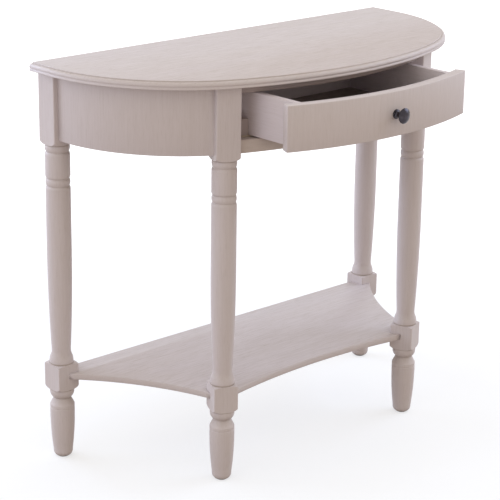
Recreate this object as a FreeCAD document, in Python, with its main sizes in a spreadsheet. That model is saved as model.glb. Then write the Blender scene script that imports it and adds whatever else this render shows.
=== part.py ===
# Demilune console table: a D-shaped moulded top on four turned legs, a curved apron with one
# bow-fronted drawer, and a low shelf with hollowed edges. Millimetres, +Z up, +X to the right
# and -Y to the front. The origin is on the floor, under the middle of the whole table.
import FreeCAD, Part
import math
import os
import re
import Sketcher

# Driving dimensions. Lengths are in millimetres, and a name that ends in turn is in degrees.
SIZES = {
    # Top: a straight rear edge, straight sides, corner arcs and a wide front arc.
    "top_height": 760,
    "top_width": 886,
    "top_depth": 385,
    "top_thickness": 15,
    "side_straight": 60,
    "front_radius": 700,
    "step_height": 2,
    "step_ledge": 1.4,
    "ovolo_radius": 6,
    # Legs: square blanks, turned between the blocks.
    "block_size": 46,
    "block_edge": 2,
    "block_overhang": 16.5,
    "rear_overhang": 2,
    "leg_turn": 22.5,
    "apron_block": 134,
    "shelf_block": 51,
    "foot_height": 135.5,
    "cut_overrun": 3,
    # Apron and rails.
    "apron_height": 123,
    "apron_thickness": 21,
    "apron_setback": 9.5,
    "rear_setback": 3,
    "upper_rail": 15,
    "lower_rail": 24,
    "rail_edge": 1,
    # Shelf.
    "shelf_thickness": 12,
    "shelf_rise": 22,
    "shelf_rear": 15,
    "shelf_front_bend": 1240,
    "shelf_side_bend": 560,
    "shelf_edge": 1.6,
    # Drawer, and how far it stands open at rest.
    "rest_opening": 118,
    "drawer_gap": 1.2,
    "front_thickness": 20,
    "front_edge": 1.2,
    "drawer_wall": 12,
    "back_gap": 29,
    "side_rise": 1.5,
    "side_drop": 1,
    "panel_thickness": 4,
    "panel_rise": 5,
    "panel_groove": 5,
    "panel_gap": 0.15,
    "panel_play": 0.3,
    # Runners, guides and kickers round the drawer.
    "slide_gap": 0.3,
    "runner_height": 22,
    "runner_inset": 18,
    "guide_gap": 0.8,
    "guide_width": 12,
    "leg_gap": 5.1,
    "guide_height": 30,
    "kicker_gap": 2,
    # Knob.
    "knob_projection": 26,
    "knob_radius": 13.8,
    "knob_crown": 5.8,
    "knob_bore": 11,
    "seat_gap": 0.1,
    # Dowels and screws.
    "dowel_radius": 4,
    "dowel_length": 40,
    "pin_radius": 3,
    "pin_length": 28,
    "pin_depth": 9,
    "dowel_chamfer": 0.8,
    "glue_gap": 0.05,
    "hole_spare": 0.5,
    "runner_dowel_depth": 10,
    "screw_radius": 2,
    "screw_head_radius": 4,
    "screw_head": 2.4,
    "screw_tip": 4,
    "top_screw_length": 24,
    "back_screw_length": 28,
    "long_screw_length": 45,
    "screw_point": 0.5,
    # Glides under the feet.
    "glide_thickness": 2.5,
    "glide_radius": 11,
    "glide_edge": 0.8,
    "glide_pin_radius": 1.5,
    "glide_pin": 12,
}

# Places worked out from the driving dimensions. Y counts from the top's rear edge here.
LAYOUT = {
    "half_width": "top_width / 2",
    "half_block": "block_size / 2",
    "shoulder_radius": "0.48 * half_block",
    "crown_radius": "1.05 * half_block",
    "under_top": "top_height - top_thickness",
    "apron_bottom": "under_top - apron_height",
    "opening_top": "under_top - upper_rail",
    "opening_bottom": "apron_bottom + lower_rail",
    # The three arcs of the plan, and the faces that run parallel to them.
    "front_centre": "front_radius - top_depth",
    "corner_run": "front_centre + side_straight",
    "corner_radius": "(front_radius^2 - half_width^2 - corner_run^2) / (2 * (front_radius - half_width))",
    "corner_x": "half_width - corner_radius",
    "slab_inset": "ovolo_radius + step_ledge",
    "apron_inset": "block_overhang + apron_setback",
    "face_radius": "front_radius - apron_inset",
    "back_radius": "face_radius - apron_thickness",
    "side_face": "corner_radius - apron_inset",
    "side_back": "side_face - apron_thickness",
    # Leg axes, and the front legs as seen from the centre of the front arc.
    "rear_leg_x": "half_width - block_overhang - half_block",
    "rear_leg_y": "-rear_overhang - half_block",
    "leg_reach": "corner_radius - block_overhang - half_block",
    "front_leg_x": "corner_x + leg_reach * sin(leg_turn)",
    "front_leg_y": "-side_straight - leg_reach * cos(leg_turn)",
    "leg_along": "leg_reach + corner_x * sin(leg_turn) + corner_run * cos(leg_turn)",
    "leg_across": "corner_run * sin(leg_turn) - corner_x * cos(leg_turn)",
    "rail_end": "leg_across + half_block",
    "drawer_end": "rail_end + drawer_gap",
    # Heights on the leg.
    "foot_top": "glide_thickness + foot_height",
    "column_foot": "foot_top + shelf_block",
    "column_top": "under_top - apron_block",
    "shelf_bottom": "foot_top + shelf_rise",
    "shelf_middle": "shelf_bottom + shelf_thickness / 2",
    # Rear apron.
    "rear_face": "-rear_overhang - rear_setback",
    "rear_inner": "rear_face - apron_thickness",
    "rear_middle": "rear_face - apron_thickness / 2",
    # Drawer when closed.
    "inside_radius": "face_radius - front_thickness",
    "front_bottom": "opening_bottom + drawer_gap",
    "front_top": "opening_top - drawer_gap",
    "leg_inner": "front_leg_x - half_block * (cos(leg_turn) + sin(leg_turn))",
    "box_half": "leg_inner - leg_gap - guide_width - guide_gap",
    "box_inner": "box_half - drawer_wall",
    "box_rear": "rear_inner - back_gap",
    "back_inner": "box_rear - drawer_wall",
    "side_bottom": "front_bottom + side_rise",
    "side_top": "front_top - side_drop",
    "panel_bottom": "side_bottom + panel_rise",
    "panel_slot": "panel_thickness + 2 * panel_gap",
    "panel_top": "panel_bottom + panel_slot",
    "box_side": "box_half - drawer_wall / 2",
    "back_middle": "box_rear - drawer_wall / 2",
    # Runners, guides and kickers.
    "runner_top": "side_bottom - slide_gap",
    "runner_bottom": "runner_top - runner_height",
    "runner_inner": "box_half - runner_inset",
    "guide_inner": "box_half + guide_gap",
    "runner_outer": "guide_inner + guide_width",
    "runner_middle": "(runner_inner + runner_outer) / 2",
    "runner_level": "(runner_bottom + runner_top) / 2",
    "runner_dowel_level": "(runner_bottom + opening_bottom) / 2",
    "guide_middle": "guide_inner + guide_width / 2",
    "guide_top": "runner_top + guide_height",
    "kicker_bottom": "side_top + kicker_gap",
    # Dowels that enter curved pieces lie on the middle of the stretch that they hold.
    "dowel_depth": "dowel_length / 2 + hole_spare",
    "side_dowel": "sqrt((side_face - apron_thickness / 2)^2 - (half_block + dowel_length / 4)^2) - leg_reach",
    "rail_dowel": "sqrt((face_radius - apron_thickness / 2)^2 - (rail_end + dowel_length / 4)^2) - leg_along",
    "rear_dowel": "half_block - apron_setback - apron_thickness / 2",
    "rail_pin_y": "front_centre - sqrt(back_radius^2 - runner_middle^2) - runner_dowel_depth",
    "front_pin_y": "front_centre - sqrt(inside_radius^2 - box_side^2) - pin_depth",
    "dowel_hole": "dowel_radius + glue_gap",
    "pin_hole": "pin_radius + glue_gap",
    "screw_hole": "screw_radius + glue_gap",
    "screw_sink_radius": "screw_head_radius + seat_gap",
    "screw_sink": "screw_head + seat_gap",
    # The rear edge of the top, with the whole table centred on the origin.
    "table_reach": "face_radius - front_centre + rest_opening + knob_projection",
    "rear_edge": "table_reach / 2",
    "drawer_rear_edge": "rear_edge - rest_opening",
    "knob_y": "front_centre - face_radius",
    "knob_z": "(front_bottom + front_top) / 2",
    "knob_rim": "knob_projection - knob_crown",
    "knob_dome": "(knob_radius^2 + knob_crown^2) / (2 * knob_crown)",
}

# Turned profiles, from the top down: height as a share of the stretch between two blocks, radius
# as a share of half the block, and for a curved stretch below that point its bend as a share of
# half the block and its direction: -1 for a bead, 1 for a hollow.
BEAD = -1
HOLLOW = 1
COLUMN_SHARES = [
    (1.000, 0.948, 0.72, BEAD),
    (0.971, 0.939),
    (0.9673, 0.905),
    (0.9637, 0.939, 0.26, BEAD),
    (0.955, 0.996),
    (0.8602, 0.996, 0.26, BEAD),
    (0.8519, 0.939),
    (0.8483, 0.905),
    (0.8448, 0.939, 0.60, BEAD),
    (0.8199, 0.939),
    (0.8164, 0.905),
    (0.8128, 0.939, 0.26, BEAD),
    (0.8033, 0.996),
    (0.5237, 0.996, 163, BEAD),
    (0.0853, 0.797, 4.0, HOLLOW),
    (0.0557, 0.778, 0.95, HOLLOW),
    (0.0375, 0.875, 1.09, BEAD),
    (0.000, 0.950),
]
FOOT_SHARES = [
    (1.000, 0.957, 0.20, BEAD),
    (0.985, 0.991),
    (0.967, 0.991, 0.70, BEAD),
    (0.867, 0.696),
    (0.7675, 1.000),
    (0.7306, 1.000),
    (0.7218, 0.970),
    (0.7122, 1.000),
    (0.6605, 1.004, 27, BEAD),
    (0.0775, 0.787, 0.52, BEAD),
    (0.000, 0.610),
]

# The knob below its crown: height as a share of the rim's, radius and bend as shares of its radius.
KNOB_SHARES = [
    (1.000, 1.000, 0.125, BEAD),
    (0.882, 0.913, 0.62, HOLLOW),
    (0.618, 0.333),
    (0.322, 0.333, 0.29, HOLLOW),
    (0.129, 0.551, 0.088, BEAD),
    (0.075, 0.616),
    (0.000, 0.616),
]

# Where repeated fasteners stand, as shares of the height or length of the piece that they hold.
APRON_DOWEL_SHARES = (0.22, 0.78)
DRAWER_PIN_SHARES = (0.28, 0.75)
BACK_SCREW_SHARES = (0.30, 0.78)
STRIP_SCREW_SHARES = (0.15, 0.80)

LEFT = -1
RIGHT = 1
SIDES = {"left": LEFT, "right": RIGHT}

# How closely two computed lengths agree when they are the same size.
MATCH = 1e-6

doc = FreeCAD.newDocument("demilune_table")
NODES = []
CUTS = []


def fill_sheet(name, rows):
    """Make a sheet whose cells hold the given numbers or formulas under their aliases."""
    sheet = doc.addObject("Spreadsheet::Sheet", name)
    for row, (alias, text) in enumerate(rows.items(), start=1):
        sheet.set(f"A{row}", alias)
        sheet.set(f"B{row}", str(text))
        sheet.setAlias(f"B{row}", alias)
    doc.recompute()
    return sheet


def bound(text):
    """Spell each alias in an expression with the sheet that holds it."""
    return re.sub(r"[a-z_]+", lambda word: CELLS.get(word.group(), word.group()), text)


CELLS = {alias: f"Sizes.{alias}" for alias in SIZES}
CELLS.update({alias: f"Layout.{alias}" for alias in LAYOUT})
sizes = fill_sheet("Sizes", SIZES)
layout = fill_sheet("Layout", {alias: f"={bound(text)}" for alias, text in LAYOUT.items()})


def value(text):
    """The number that an expression has now."""
    result = layout.evalExpression(bound(text))
    return float(getattr(result, "Value", result))


def placement(x, y, z, yaw="0", pitch="0", roll="0"):
    """A placement as one expression."""
    return bound(f"placement(vector({x}; {y}; {z}); rotation({yaw}; {pitch}; {roll}))")


def new_body(label, x="0", y="rear_edge", z="0", yaw="0", roll="0", node=True):
    """A body that stands at a place worked out from the sheets."""
    body = doc.addObject("PartDesign::Body", label)
    body.Label = label
    body.setExpression("Placement", placement(x, y, z, yaw, "0", roll))
    if node:
        NODES.append(body)
    return body


def new_sketch(body, name, plane, lift="0", across="0", swing="0"):
    """A sketch on one of the body's own planes, lifted off it, moved along it or swung about its upright."""
    sketch = body.newObject("Sketcher::SketchObject", f"{body.Label}_{name}_sketch")
    support = next(item for item in body.Origin.OriginFeatures if item.Role == plane)
    sketch.AttachmentSupport = [(support, "")]
    sketch.MapMode = "FlatFace"
    sketch.setExpression("AttachmentOffset", placement(across, "0", lift, pitch=swing))
    return sketch


def arc_between(start, end, radius, turn):
    """An arc from start to end, counter-clockwise for a turn of 1 and clockwise for -1."""
    chord = end - start
    rise = math.sqrt(radius ** 2 - (chord.Length / 2) ** 2)
    normal = FreeCAD.Vector(-chord.y, chord.x, 0).normalize()
    centre = (start + end) / 2 + normal * (rise * turn)
    first, last = (start, end) if turn > 0 else (end, start)
    low = math.atan2(first.y - centre.y, first.x - centre.x)
    high = math.atan2(last.y - centre.y, last.x - centre.x)
    if high < low:
        high += 2 * math.pi
    circle = Part.Circle(centre, FreeCAD.Vector(0, 0, 1), radius)
    return Part.ArcOfCircle(circle, low, high)


def trace(sketch, corners):
    """Draw a closed outline. A corner is (x, y), or (x, y, radius, turn) where an arc follows it."""
    points = [FreeCAD.Vector(value(corner[0]), value(corner[1]), 0) for corner in corners]
    ends = []
    for index, corner in enumerate(corners):
        start = points[index]
        end = points[(index + 1) % len(points)]
        if len(corner) == 2:
            sketch.addGeometry(Part.LineSegment(start, end))
            ends.append((1, 2))
        else:
            sketch.addGeometry(arc_between(start, end, value(corner[2]), corner[3]))
            ends.append((1, 2) if corner[3] > 0 else (2, 1))
    ties = []
    for index, corner in enumerate(corners):
        here = ends[index][0]
        before = index - 1 if index else len(corners) - 1
        ties.append((Sketcher.Constraint("Coincident", before, ends[before][1], index, here), None))
        ties.append((Sketcher.Constraint("DistanceX", -1, 1, index, here, points[index].x), corner[0]))
        ties.append((Sketcher.Constraint("DistanceY", -1, 1, index, here, points[index].y), corner[1]))
        if len(corner) > 2:
            ties.append((Sketcher.Constraint("Radius", index, value(corner[2])), corner[2]))
    tie(sketch, ties)


def tie(sketch, ties):
    """Add constraints and bind those that carry a size to its expression."""
    indexes = sketch.addConstraint([constraint for constraint, text in ties])
    for index, (constraint, text) in zip(indexes, ties):
        if text:
            sketch.setExpression(f"Constraints[{index}]", bound(text))


def circles(sketch, centres, radius):
    """Draw circles of one radius."""
    ties = []
    for index, (x, y) in enumerate(centres):
        centre = FreeCAD.Vector(value(x), value(y), 0)
        sketch.addGeometry(Part.Circle(centre, FreeCAD.Vector(0, 0, 1), value(radius)))
        ties.append((Sketcher.Constraint("DistanceX", -1, 1, index, 3, centre.x), x))
        ties.append((Sketcher.Constraint("DistanceY", -1, 1, index, 3, centre.y), y))
        ties.append((Sketcher.Constraint("Radius", index, value(radius)), radius))
    tie(sketch, ties)


def extrude(body, kind, name, sketch, length, reverse=False):
    """Pad or pocket a sketch."""
    feature = body.newObject(f"PartDesign::{kind}", f"{body.Label}_{name}")
    feature.Profile = sketch
    feature.setExpression("Length", bound(length))
    feature.Reversed = reverse
    if kind == "Pocket":
        CUTS.append(feature)
    return feature


def pad(body, name, corners, lift, height):
    """Raise a level outline by a height."""
    sketch = new_sketch(body, name, "XY_Plane", lift)
    trace(sketch, corners)
    return extrude(body, "Pad", name, sketch, height)


def drill(body, name, plane, centres, radius, depth, lift, reverse=False, across="0", swing="0"):
    """Sink round holes from a plane, against its normal, or along it if reversed."""
    sketch = new_sketch(body, name, plane, lift, across, swing)
    circles(sketch, centres, radius)
    return extrude(body, "Pocket", name, sketch, depth, reverse)


def revolve(body, kind, name, corners):
    """Turn an outline of radius and height round the body's upright axis."""
    sketch = new_sketch(body, name, "XZ_Plane")
    trace(sketch, corners)
    feature = body.newObject(f"PartDesign::{kind}", f"{body.Label}_{name}")
    feature.Profile = sketch
    feature.ReferenceAxis = (sketch, ["V_Axis"])
    feature.Angle = 360
    if kind == "Groove":
        CUTS.append(feature)
    return feature


def dress(body, kind, name, size, chosen):
    """Round or chamfer the edges of the body that a test chooses."""
    doc.recompute()
    base = body.Tip
    names = [f"Edge{index}" for index, edge in enumerate(base.Shape.Edges, start=1) if chosen(edge)]
    feature = body.newObject(f"PartDesign::{kind}", f"{body.Label}_{name}")
    feature.Base = (base, names)
    feature.setExpression("Radius" if kind == "Fillet" else "Size", bound(size))
    return feature


def same(first, second):
    """Whether two lengths agree."""
    return math.isclose(first, second, abs_tol=MATCH)


def edge_points(edge):
    """The ends and the middle of an edge."""
    low, high = edge.ParameterRange
    return [edge.valueAt(low), edge.valueAt((low + high) / 2), edge.valueAt(high)]


def is_level(edge, height):
    """Whether an edge lies at a height."""
    return all(same(point.z, height) for point in edge_points(edge))


def is_upright(edge):
    """Whether an edge runs straight up."""
    points = edge_points(edge)
    return all(same(point.x, points[0].x) and same(point.y, points[0].y) for point in points)


def is_on_front(edge, centre_y, radius):
    """Whether an edge stays at one distance from the centre of the front arc."""
    return all(same(math.hypot(point.x, point.y - centre_y), radius) for point in edge_points(edge))


def is_on_side(edge, radius, straight):
    """Whether an edge is an arc of a radius or lies on a straight side."""
    if isinstance(edge.Curve, Part.Circle):
        return same(edge.Curve.Radius, radius)
    return all(same(point.x, straight) for point in edge_points(edge))


def group(label, master, places):
    """One node of like pieces: copies of a master at the given placements."""
    copies = []
    for index, place in enumerate(places, start=1):
        copy = doc.addObject("App::Link", f"{label}_{index}")
        copy.LinkedObject = master
        copy.setExpression("Placement", place)
        copies.append(copy)
    compound = doc.addObject("Part::Compound", label)
    compound.Label = label
    compound.Links = copies
    NODES.append(compound)


def share_of(low, high, share):
    """A place between two others."""
    return f"({low} + ({high} - {low}) * {share})"


def on_front(radius, across, side):
    """Where a line beside a front leg, parallel to its side faces, meets an arc round the front centre."""
    along = f"sqrt(({radius})^2 - ({across})^2)"
    x = f"{side} * ({along} * sin(leg_turn) - ({across}) * cos(leg_turn))"
    y = f"front_centre - ({across}) * sin(leg_turn) - {along} * cos(leg_turn)"
    return x, y


def on_corner(radius, across, side):
    """Where a line beside a front leg, on its outer side, meets an arc round the corner's centre."""
    along = f"sqrt(({radius})^2 - ({across})^2)"
    x = f"{side} * (corner_x + ({across}) * cos(leg_turn) + {along} * sin(leg_turn))"
    y = f"-side_straight + ({across}) * sin(leg_turn) - {along} * cos(leg_turn)"
    return x, y


def by_leg(outwards, ahead, side):
    """A point given from a front leg's axis, outwards along the curve and ahead to the front."""
    x = f"{side} * (front_leg_x + ({outwards}) * cos(leg_turn) + ({ahead}) * sin(leg_turn))"
    y = f"front_leg_y + ({outwards}) * sin(leg_turn) - ({ahead}) * cos(leg_turn)"
    return x, y


def top_outline(inset):
    """The D of the top, moved in from its curved edge."""
    angle = "atan(corner_x / corner_run)"
    corner = f"(corner_radius - {inset})"
    front_x = f"(corner_x + {corner} * sin({angle}))"
    front_y = f"(-side_straight - {corner} * cos({angle}))"
    edge = f"(half_width - {inset})"
    return [
        (f"-{edge}", "0"),
        (f"-{edge}", "-side_straight", corner, 1),
        (f"-{front_x}", front_y, f"front_radius - {inset}", 1),
        (front_x, front_y, corner, 1),
        (edge, "-side_straight"),
        (edge, "0"),
    ]


def arc_y(radius, x):
    """How far forward an arc round the front centre lies at a distance from the middle."""
    return f"front_centre - sqrt(({radius})^2 - ({x})^2)"


def heights(low, high, shares):
    """Levels between two heights."""
    return [share_of(low, high, share) for share in shares]


def strip_places(x, side):
    """Where the screws stand on a line along a strip that runs from the rear apron to the rails."""
    front = f"({arc_y('back_radius', x)})"
    return [(f"{side} * {x}", share_of("rear_inner", front, share)) for share in STRIP_SCREW_SHARES]


def apron_levels():
    return heights("apron_bottom", "under_top", APRON_DOWEL_SHARES)


def rail_levels():
    return ["(apron_bottom + lower_rail / 2)", "(opening_top + upper_rail / 2)"]


def pin_levels():
    return heights("side_bottom", "side_top", DRAWER_PIN_SHARES)


def back_levels():
    return heights("panel_top", "side_top", BACK_SCREW_SHARES)


def tabletop():
    body = new_body("tabletop")
    pad(body, "lip", top_outline("0"), "under_top", "top_thickness - step_height")
    ledge = value("top_height - step_height")
    dress(body, "Fillet", "ovolo", "ovolo_radius",
          lambda edge: is_level(edge, ledge) and min(point.y for point in edge_points(edge)) < 0)
    pad(body, "slab", top_outline("slab_inset"), "top_height - step_height", "step_height")
    places = strip_places("runner_middle", LEFT) + strip_places("runner_middle", RIGHT)
    drill(body, "screw_holes", "XY_Plane", places, "screw_hole",
          "kicker_bottom + top_screw_length + hole_spare - under_top", "under_top", reverse=True)


def turned_cut(body, name, low, high, shares, crown_below):
    """Cut the square blank round, with a rounded shoulder on the block above and a flat crown on one below."""
    outside = "(half_block * sqrt(2) + cut_overrun)"
    first = f"half_block * {shares[0][1]}"
    corners = [
        (outside, f"{high} + shoulder_radius"),
        (f"{first} + shoulder_radius", f"{high} + shoulder_radius", "shoulder_radius", BEAD),
    ]
    for height, radius, *bend in shares:
        corner = (f"half_block * {radius}", share_of(low, high, height))
        if bend:
            corner += (f"half_block * {bend[0]}", bend[1])
        corners.append(corner)
    last = f"half_block * {shares[-1][1]}"
    if crown_below:
        drop = f"(crown_radius - sqrt(crown_radius^2 - ({outside} - {last})^2))"
        corners[-1] += ("crown_radius", BEAD)
        corners.append((outside, f"{low} - {drop}"))
    else:
        corners.append((last, f"{low} - cut_overrun"))
        corners.append((outside, f"{low} - cut_overrun"))
    revolve(body, "Groove", name, corners)


def turned_leg(label, side, x, y, yaw):
    """A leg in its own frame: a square blank, turned below its blocks, with a hole for its glide."""
    body = new_body(label, f"{side} * {x}", f"rear_edge + {y}", "0", yaw)
    square = [
        ("-half_block", "-half_block"),
        ("half_block", "-half_block"),
        ("half_block", "half_block"),
        ("-half_block", "half_block"),
    ]
    pad(body, "blank", square, "glide_thickness", "under_top - glide_thickness")
    dress(body, "Fillet", "eased", "block_edge", is_upright)
    turned_cut(body, "column", "column_foot", "column_top", COLUMN_SHARES, True)
    turned_cut(body, "foot", "glide_thickness", "foot_top", FOOT_SHARES, False)
    drill(body, "glide_hole", "XY_Plane", [("0", "0")], "glide_pin_radius + glue_gap",
          "glide_pin + hole_spare", "glide_thickness", reverse=True)
    return body


def rear_leg(name, side):
    body = turned_leg(f"rear_{name}_leg", side, "rear_leg_x", "rear_leg_y", "0")
    inner = f"{-side} * half_block"
    drill(body, "rear_apron_holes", "YZ_Plane",
          [("rear_middle - rear_leg_y", level) for level in apron_levels()],
          "dowel_hole", "dowel_depth", inner, reverse=side == RIGHT)
    drill(body, "side_apron_holes", "XZ_Plane", [(f"{side} * rear_dowel", level) for level in apron_levels()],
          "dowel_hole", "dowel_depth", "half_block")
    drill(body, "shelf_hole", "YZ_Plane", [("0", "shelf_middle")],
          "pin_hole", "pin_length / 2 + hole_spare", inner, reverse=side == RIGHT)


def front_leg(name, side):
    body = turned_leg(f"front_{name}_leg", side, "front_leg_x", "front_leg_y", f"{side} * leg_turn")
    drill(body, "side_apron_holes", "YZ_Plane", [("-side_dowel", level) for level in apron_levels()],
          "dowel_hole", "dowel_depth", f"{side} * half_block", reverse=side == LEFT)
    drill(body, "rail_holes", "YZ_Plane", [("-rail_dowel", level) for level in rail_levels()],
          "dowel_hole", "dowel_depth", f"{-side} * half_block", reverse=side == RIGHT)
    drill(body, "shelf_hole", "XZ_Plane", [("0", "shelf_middle")],
          "pin_hole", "pin_length / 2 + hole_spare", "-half_block", reverse=True)


def rear_apron():
    body = new_body("rear_apron")
    end = "(rear_leg_x - half_block)"
    outline = [
        (f"-{end}", "rear_inner"),
        (end, "rear_inner"),
        (end, "rear_face"),
        (f"-{end}", "rear_face"),
    ]
    pad(body, "board", outline, "apron_bottom", "apron_height")
    for name, side in SIDES.items():
        drill(body, f"{name}_dowel_holes", "YZ_Plane", [("rear_middle", level) for level in apron_levels()],
              "dowel_hole", "dowel_depth", f"{side} * {end}", reverse=side == LEFT)
    screws = [(f"{side} * runner_middle", "runner_level") for side in SIDES.values()]
    drill(body, "screw_holes", "XZ_Plane", screws, "screw_hole", "apron_thickness",
          "-rear_face", reverse=True)
    drill(body, "screw_sinks", "XZ_Plane", screws, "screw_sink_radius", "screw_sink",
          "-rear_face", reverse=True)


def side_apron(name, side):
    body = new_body(f"{name}_side_apron")
    outer = f"{side} * (half_width - apron_inset)"
    inner = f"{side} * (half_width - apron_inset - apron_thickness)"
    rear = "(rear_leg_y - half_block)"
    outline = [
        (outer, rear),
        (outer, "-side_straight", "side_face", -side),
        on_corner("side_face", "half_block", side),
        on_corner("side_back", "half_block", side) + ("side_back", side),
        (inner, "-side_straight"),
        (inner, rear),
    ]
    pad(body, "board", outline, "apron_bottom", "apron_height")
    bottom = value("apron_bottom")
    face = value("side_face")
    dress(body, "Fillet", "eased", "rail_edge",
          lambda edge: is_level(edge, bottom) and is_on_side(edge, face, value(outer)))
    drill(body, "rear_dowel_holes", "XZ_Plane",
          [(f"{side} * (rear_leg_x + rear_dowel)", level) for level in apron_levels()],
          "dowel_hole", "dowel_depth", f"-{rear}", reverse=True)
    x, y = by_leg("half_block", "0", side)
    drill(body, "front_dowel_holes", "YZ_Plane", [("-side_dowel", level) for level in apron_levels()],
          "dowel_hole", "dowel_depth", x, reverse=side == RIGHT, across=y, swing=f"{side} * leg_turn")


def bowed_board(label, y, end, inner, bottom, height):
    """A board on the front arc, with its ends parallel to the front legs' side faces."""
    body = new_body(label, y=y)
    outline = [
        on_front("face_radius", end, LEFT) + ("face_radius", 1),
        on_front("face_radius", end, RIGHT),
        on_front(inner, end, RIGHT) + (inner, -1),
        on_front(inner, end, LEFT),
    ]
    pad(body, "board", outline, bottom, height)
    return body


def rail(label, bottom, height, level):
    body = bowed_board(label, "rear_edge", "rail_end", "back_radius", bottom, height)
    centre = value("front_centre")
    face = value("face_radius")
    dress(body, "Fillet", "eased", "rail_edge",
          lambda edge: isinstance(edge.Curve, Part.Circle) and is_on_front(edge, centre, face))
    for name, side in SIDES.items():
        x, y = by_leg("-half_block", "0", side)
        drill(body, f"{name}_dowel_hole", "YZ_Plane", [("-rail_dowel", level)],
              "dowel_hole", "dowel_depth", x, reverse=side == LEFT, across=y, swing=f"{side} * leg_turn")
    return body


def rails():
    lower_level, upper_level = rail_levels()
    rail("upper_rail", "opening_top", "upper_rail", upper_level)
    body = rail("lower_rail", "apron_bottom", "lower_rail", lower_level)
    holes = [(f"{side} * runner_middle", "runner_dowel_level") for side in SIDES.values()]
    drill(body, "runner_holes", "XZ_Plane", holes, "dowel_hole", "dowel_length + hole_spare",
          "-rail_pin_y - dowel_length", reverse=True)


def shelf():
    body = new_body("shelf")
    post = "(rear_leg_x - half_block)"
    front = "(rear_leg_y - half_block)"
    outline = [
        (f"-{post}", "-shelf_rear"),
        (f"-{post}", front),
        ("-rear_leg_x", front, "shelf_side_bend", -1),
        by_leg("half_block", "0", LEFT),
        by_leg("half_block", "-half_block", LEFT),
        by_leg("-half_block", "-half_block", LEFT),
        by_leg("-half_block", "0", LEFT) + ("shelf_front_bend", -1),
        by_leg("-half_block", "0", RIGHT),
        by_leg("-half_block", "-half_block", RIGHT),
        by_leg("half_block", "-half_block", RIGHT),
        by_leg("half_block", "0", RIGHT) + ("shelf_side_bend", -1),
        ("rear_leg_x", front),
        (post, front),
        (post, "-shelf_rear"),
    ]
    pad(body, "board", outline, "shelf_bottom", "shelf_thickness")
    dress(body, "Chamfer", "eased", "shelf_edge", lambda edge: isinstance(edge.Curve, Part.Circle))
    for name, side in SIDES.items():
        drill(body, f"rear_{name}_hole", "YZ_Plane", [("rear_leg_y", "shelf_middle")],
              "pin_hole", "pin_length / 2 + hole_spare", f"{side} * {post}", reverse=side == LEFT)
        x, y = by_leg("0", "-half_block", side)
        drill(body, f"front_{name}_hole", "XZ_Plane", [("0", "shelf_middle")], "pin_hole",
              "pin_length / 2 + hole_spare", f"-({y})", across=x, swing=f"{side} * leg_turn")


def strip(label, side, inner, bottom, height):
    """A strip beside the drawer, from the rear apron to the back of the rails."""
    body = new_body(label)
    outline = [
        (f"{side} * {inner}", "rear_inner"),
        (f"{side} * runner_outer", "rear_inner"),
        (f"{side} * runner_outer", arc_y("back_radius", "runner_outer"), "back_radius", -side),
        (f"{side} * {inner}", arc_y("back_radius", inner)),
    ]
    pad(body, "strip", outline, bottom, height)
    return body


def runner(name, side):
    body = strip(f"{name}_runner", side, "runner_inner", "runner_bottom", "runner_height")
    drill(body, "guide_holes", "XY_Plane", strip_places("guide_middle", side), "screw_hole",
          "long_screw_length + hole_spare - guide_height", "runner_top")
    drill(body, "screw_hole", "XZ_Plane", [(f"{side} * runner_middle", "runner_level")], "screw_hole",
          "long_screw_length + hole_spare - apron_thickness", "-rear_inner", reverse=True)
    drill(body, "dowel_hole", "XZ_Plane", [(f"{side} * runner_middle", "runner_dowel_level")],
          "dowel_hole", "dowel_length + hole_spare", "-rail_pin_y")


def guide(name, side):
    body = strip(f"{name}_guide", side, "guide_inner", "runner_top", "guide_height")
    places = strip_places("guide_middle", side)
    drill(body, "screw_holes", "XY_Plane", places, "screw_hole", "guide_height", "guide_top")
    drill(body, "screw_sinks", "XY_Plane", places, "screw_sink_radius", "screw_sink", "guide_top")


def kicker(name, side):
    body = strip(f"{name}_kicker", side, "runner_inner", "kicker_bottom", "under_top - kicker_bottom")
    places = strip_places("runner_middle", side)
    drill(body, "screw_holes", "XY_Plane", places, "screw_hole", "under_top - kicker_bottom",
          "kicker_bottom", reverse=True)
    drill(body, "screw_sinks", "XY_Plane", places, "screw_sink_radius", "screw_sink",
          "kicker_bottom", reverse=True)


def drawer_front():
    body = bowed_board("drawer_front", "drawer_rear_edge", "drawer_end", "inside_radius",
                       "front_bottom", "front_top - front_bottom")
    centre = value("front_centre")
    face = value("face_radius")
    dress(body, "Fillet", "eased", "front_edge", lambda edge: is_on_front(edge, centre, face))
    slot_end = "(box_inner + panel_groove)"
    slot_front = "(inside_radius + panel_groove)"
    slot_rear = "(inside_radius - cut_overrun)"
    slot = [
        (f"-{slot_end}", arc_y(slot_front, slot_end), slot_front, 1),
        (slot_end, arc_y(slot_front, slot_end)),
        (slot_end, arc_y(slot_rear, slot_end), slot_rear, -1),
        (f"-{slot_end}", arc_y(slot_rear, slot_end)),
    ]
    sketch = new_sketch(body, "panel_slot", "XY_Plane", "panel_top")
    trace(sketch, slot)
    extrude(body, "Pocket", "panel_slot", sketch, "panel_slot")
    pins = [(f"{side} * box_side", level) for side in SIDES.values() for level in pin_levels()]
    drill(body, "pin_holes", "XZ_Plane", pins, "pin_hole", "pin_length + hole_spare",
          "-front_pin_y - pin_length", reverse=True)
    drill(body, "knob_hole", "XZ_Plane", [("0", "knob_z")], "screw_hole", "front_thickness + 2 * cut_overrun",
          "inside_radius - front_centre - cut_overrun", reverse=True)


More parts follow.
